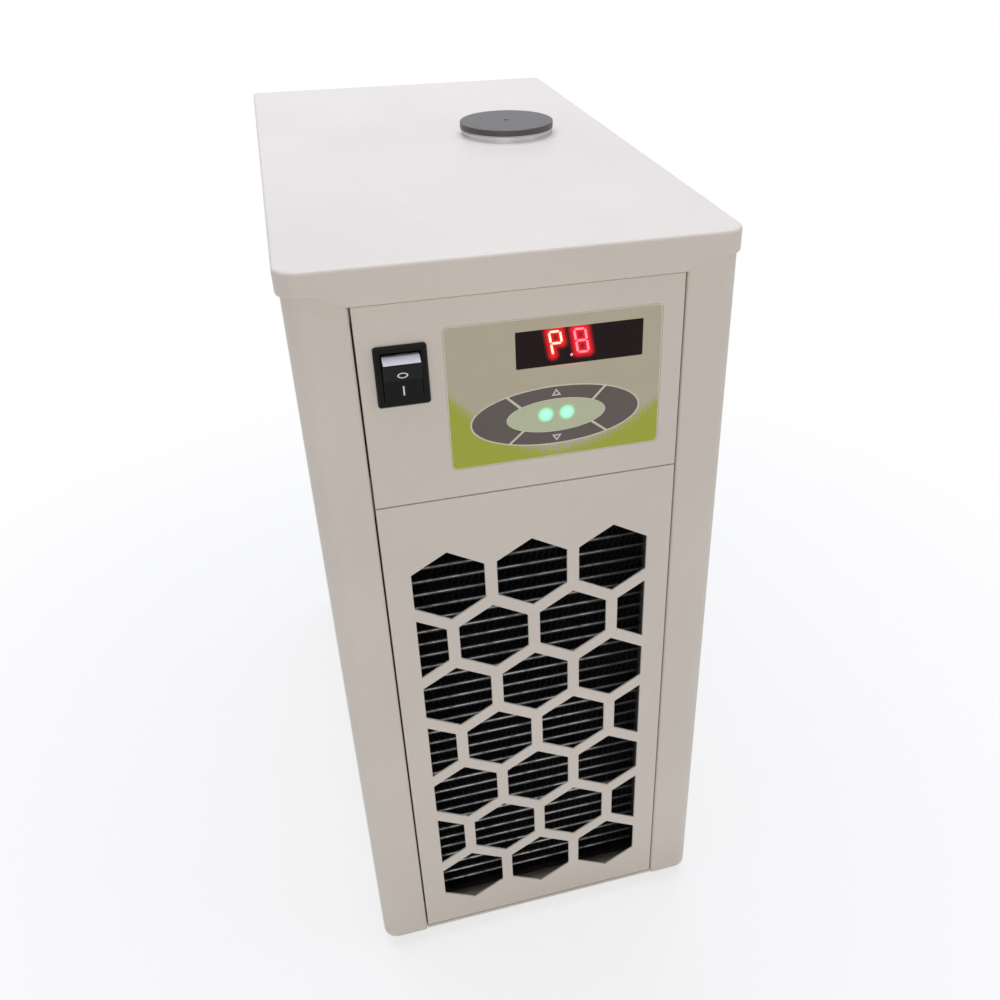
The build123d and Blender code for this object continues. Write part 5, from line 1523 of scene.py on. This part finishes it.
@dataclass
class WaterCircuit(Assembly):
    """Reservoir, pump, hoses, threaded ports and drain."""

    thread_pitch: float = 1.814
    thread_height: float = 0.85
    thread_start: float = 6.6
    thread_length: float = 12.2
    steps_round: int = 36
    port_x: float = 62.0
    port_heights: tuple[float, ...] = (162.0, 257.0)
    back_y: float = 195.4932
    crest_radius: float = 10.45
    hexagon: float = 27.0
    hexagon_height: float = 6.0
    hexagon_edge: float = 0.5
    bore_radius: float = 4.0
    reach: float = 20.0
    sheet: float = 1.2
    flange_radius: float = 13.0
    flange_height: float = 4.0
    tail_radius: float = 6.0
    tail_length: float = 24.0

    def build(self) -> None:
        """Dress the pieces and make the ports."""
        self.dress(self.finishes.stainless, "tank", "tank_lid", "temperature_probe")
        self.dress(self.finishes.foam, "tank_insulation")
        self.dress(self.finishes.satin_black, "pump_head", "pump_impeller")
        self.dress(self.finishes.enamel, "pump_motor")
        self.dress(self.finishes.hose, "suction_hose", "supply_hose", "return_hose", "drain_hose")
        self.dress(self.finishes.nickel, "drain_valve")
        self.dress(self.finishes.red, "drain_lever")
        for piece in (self.port_bodies(), self.port_hexagons(), self.port_threads()):
            self.put(piece, "cabinet", "nickel_brass", self.finishes.nickel, "hose_ports")

    def port_bodies(self) -> bpy.types.Object:
        """Both turned bodies, from the tail inside the cabinet to the mouth."""
        root = self.crest_radius - self.thread_height
        inner = -self.sheet
        profile = [
            (self.bore_radius, inner - self.tail_length),
            (self.tail_radius, inner - self.tail_length),
            (self.tail_radius, inner - self.flange_height),
            (self.flange_radius, inner - self.flange_height),
            (self.flange_radius, inner),
            (self.crest_radius, inner),
            (self.crest_radius, self.hexagon_height - 0.3),
            (root, self.hexagon_height + 0.1),
            (root, self.reach - 0.6),
            (root - 0.6, self.reach),
            (self.bore_radius + 0.5, self.reach),
            (self.bore_radius, self.reach - 0.5),
        ]
        draft = Draft()
        for height in self.port_heights:
            draft.lathe(
                [(radius * MM, along * MM) for radius, along in profile],
                Vector((self.port_x, self.back_y, height)) * MM,
                Vector((0, 1, 0)),
                48,
                closed=True,
            )
        return draft.close("port_bodies")

    def port_hexagons(self) -> bpy.types.Object:
        """Both spanner flats, with their corners eased."""
        draft = Draft()
        corner = self.hexagon / 2 / math.cos(math.pi / 6)
        for height in self.port_heights:
            outline = []
            for side in range(6):
                turn = math.radians(60 * side)
                x, z = self.port_x + corner * math.cos(turn), height + corner * math.sin(turn)
                outline.append(Vector((x, self.back_y, z)) * MM)
            draft.prism(outline, Vector((0, self.hexagon_height * MM, 0)))
        piece = draft.close("port_hexagons")
        eased = piece.modifiers.new("eased", "BEVEL")
        eased.width = self.hexagon_edge * MM
        eased.segments = 2
        return piece

    def port_threads(self) -> bpy.types.Object:
        """Both pipe threads, wound as one ridge along a helix."""
        pattern = Pattern(
            "pipe_thread",
            {
                "Pitch": self.thread_pitch * MM,
                "Length": self.thread_length * MM,
                "Radius": (self.crest_radius - self.thread_height) * MM,
                "Height": self.thread_height * MM,
                "Steps": self.steps_round,
            },
        )
        helix = pattern.node(
            "GeometryNodeCurveSpiral",
            None,
            {
                "Resolution": pattern.size("Steps"),
                "Rotations": pattern.size("Length") / pattern.size("Pitch"),
                "Start Radius": pattern.size("Radius"),
                "End Radius": pattern.size("Radius"),
                "Height": pattern.size("Length"),
            },
        )
        upright = pattern.node("GeometryNodeSetCurveNormal", {"mode": "Z_UP"}, {"Curve": helix.outputs[0]})
        ridge = pattern.node(
            "GeometryNodeCurvePrimitiveCircle", None, {"Resolution": 4, "Radius": pattern.size("Height")}
        )
        wound = pattern.node(
            "GeometryNodeCurveToMesh",
            None,
            {"Curve": upright.outputs[0], "Profile Curve": ridge.outputs[0], "Fill Caps": True},
        )
        stood = pattern.copies(
            pattern.source.outputs["Geometry"], wound.outputs[0], Rotation=(-math.pi / 2, 0.0, 0.0)
        )
        pattern.end(stood, self.finishes.nickel)
        starts = [(self.port_x, self.back_y + self.thread_start, height) for height in self.port_heights]
        return pattern.bake(points_mesh("port_mouths", starts), "port_threads")


@dataclass
class Electrics(Assembly):
    """Mains inlet, its pins and the control board."""

    def build(self) -> None:
        """Dress the pieces."""
        self.dress(self.finishes.satin_black, "power_inlet")
        self.dress(self.finishes.nickel, "inlet_pins")
        self.dress(self.finishes.board, "control_board")


@dataclass
class Studio:
    """Pale floor, soft light and the camera."""

    floor_size: float = 14.0
    floor_white: float = 0.72
    white_from: float = 0.30
    white_beyond: float = 0.75
    ambient: Colour = (0.95, 0.97, 1.0)
    ambient_level: float = 0.35
    eye: Triple = (-0.10127, -0.63654, 0.63425)
    azimuth: float = -15.997
    elevation: float = 32.231
    roll: float = -0.159
    lens: float = 35.868
    shift: Point = (-0.0700, -0.0139)

    def build(self) -> None:
        """Make the floor, the lights, the world and the camera."""
        self.build_floor()
        self.build_world()
        self.build_light("overhead", (0.0, 0.25, 2.1), (0.0, 0.0, 0.3), 1.8, 34.0, (0.76, 0.81, 1.0))
        self.build_light("front", (-0.7, -2.4, 1.25), (0.0, -0.1, 0.25), 1.6, 12.0, (1.0, 0.87, 0.73))
        self.build_light("side", (2.2, -1.2, 1.1), (0.0, 0.0, 0.25), 1.4, 5.0, (1.0, 0.95, 0.90))
        self.build_camera()

    def build_floor(self) -> None:
        """Lay the floor."""
        half = self.floor_size / 2
        mesh = bpy.data.meshes.new("floor")
        corners = [(-half, -half, 0), (half, -half, 0), (half, half, 0), (-half, half, 0)]
        mesh.from_pydata(corners, [], [(0, 1, 2, 3)])
        floor = piece_from(mesh, "floor")
        maker = FinishMaker("floor_paper")
        fibre = maker.noise(0.05, 3.0)
        maker.set(Base_Color=maker.blend(fibre, (0.90, 0.90, 0.90), (0.93, 0.93, 0.93)), Roughness=0.9)
        across, along, _ = maker.axes(maker.place())
        distance = across.hypot(along)
        outer = distance.step(self.white_from, self.white_beyond)
        share = (self.floor_white + outer * (1.0 - self.floor_white)) * self._shown(maker)
        white = maker.node("ShaderNodeEmission", None, {"Color": (1.0, 1.0, 1.0), "Strength": 1.0})
        mixed = maker.node(
            "ShaderNodeMixShader", None, {0: share, 1: maker.shader.outputs[0], 2: white.outputs[0]}
        )
        maker.feed(maker.output.inputs["Surface"], mixed.outputs[0])
        mesh.materials.append(maker.material)

    @staticmethod
    def _shown(sheet: NodeSheet) -> Value:
        """1 for rays that show the backdrop itself: straight, in gloss or through glass."""
        rays = sheet.node("ShaderNodeLightPath").outputs
        straight, gloss, through = (
            Value(sheet, rays[f"Is {kind} Ray"]) for kind in ("Camera", "Glossy", "Transmission")
        )
        return straight.most(gloss).most(through)

    def build_world(self) -> None:
        """Fill the room with even light, and show it white."""
        world = bpy.data.worlds.new("room")
        bpy.context.scene.world = world
        world.use_nodes = True
        sheet = NodeSheet(world.node_tree)
        ambient = sheet.node(
            "ShaderNodeBackground", None, {"Color": self.ambient, "Strength": self.ambient_level}
        )
        shown = sheet.node("ShaderNodeBackground", None, {"Color": (1.0, 1.0, 1.0), "Strength": 1.0})
        mixed = sheet.node(
            "ShaderNodeMixShader", None, {0: self._shown(sheet), 1: ambient.outputs[0], 2: shown.outputs[0]}
        )
        sheet.node("ShaderNodeOutputWorld", None, {"Surface": mixed.outputs[0]})

    def build_light(
        self, name: str, at: Triple, to: Triple, size: float, power: float, colour: Colour
    ) -> None:
        """Hang one soft box.

        Args:
            name: Its name.
            at: Where it hangs, in metres.
            to: The point that it faces.
            size: Its side, in metres.
            power: Watts.
            colour: Its tint.
        """
        lamp = bpy.data.lights.new(name, "AREA")
        lamp.shape = "SQUARE"
        lamp.size = size
        lamp.energy = power
        lamp.color = colour
        holder = bpy.data.objects.new(name, lamp)
        bpy.context.scene.collection.objects.link(holder)
        holder.location = at
        holder.rotation_mode = "QUATERNION"
        holder.rotation_quaternion = (Vector(to) - Vector(at)).to_track_quat("-Z", "Y")

    def build_camera(self) -> None:
        """Set the camera where the photograph was taken from."""
        turn, tilt, roll = (math.radians(angle) for angle in (self.azimuth, self.elevation, self.roll))
        forward = Vector((-math.sin(turn) * math.cos(tilt), math.cos(turn) * math.cos(tilt), -math.sin(tilt)))
        right = Vector((math.cos(turn), math.sin(turn), 0.0))
        up = right.cross(forward)
        rolled_right = right * math.cos(roll) + up * math.sin(roll)
        rolled_up = up * math.cos(roll) - right * math.sin(roll)
        camera_data = bpy.data.cameras.new("camera")
        camera = bpy.data.objects.new("camera", camera_data)
        bpy.context.scene.collection.objects.link(camera)
        camera.matrix_world = Matrix.Translation(self.eye) @ Matrix(
            (rolled_right, rolled_up, -forward)
        ).transposed().to_4x4()
        camera_data.lens = self.lens
        camera_data.sensor_width = 36.0
        camera_data.shift_x, camera_data.shift_y = self.shift
        camera_data.clip_start, camera_data.clip_end = 0.01, 60.0
        bpy.context.scene.camera = camera


def main() -> None:
    """Build the studio and every sub-assembly."""
    logging.basicConfig(level=logging.INFO, format="%(name)s: %(message)s")
    bpy.context.scene.view_settings.view_transform = "Standard"
    finishes = Finishes()
    Studio().build()
    for assembly in (
        Cabinet, ControlFace, PowerSwitch, FillerMouth, CondenserUnit, RefrigerantLoop, WaterCircuit,
        Electrics,
    ):
        assembly(finishes).build()


if __name__ == "__main__":
    main()
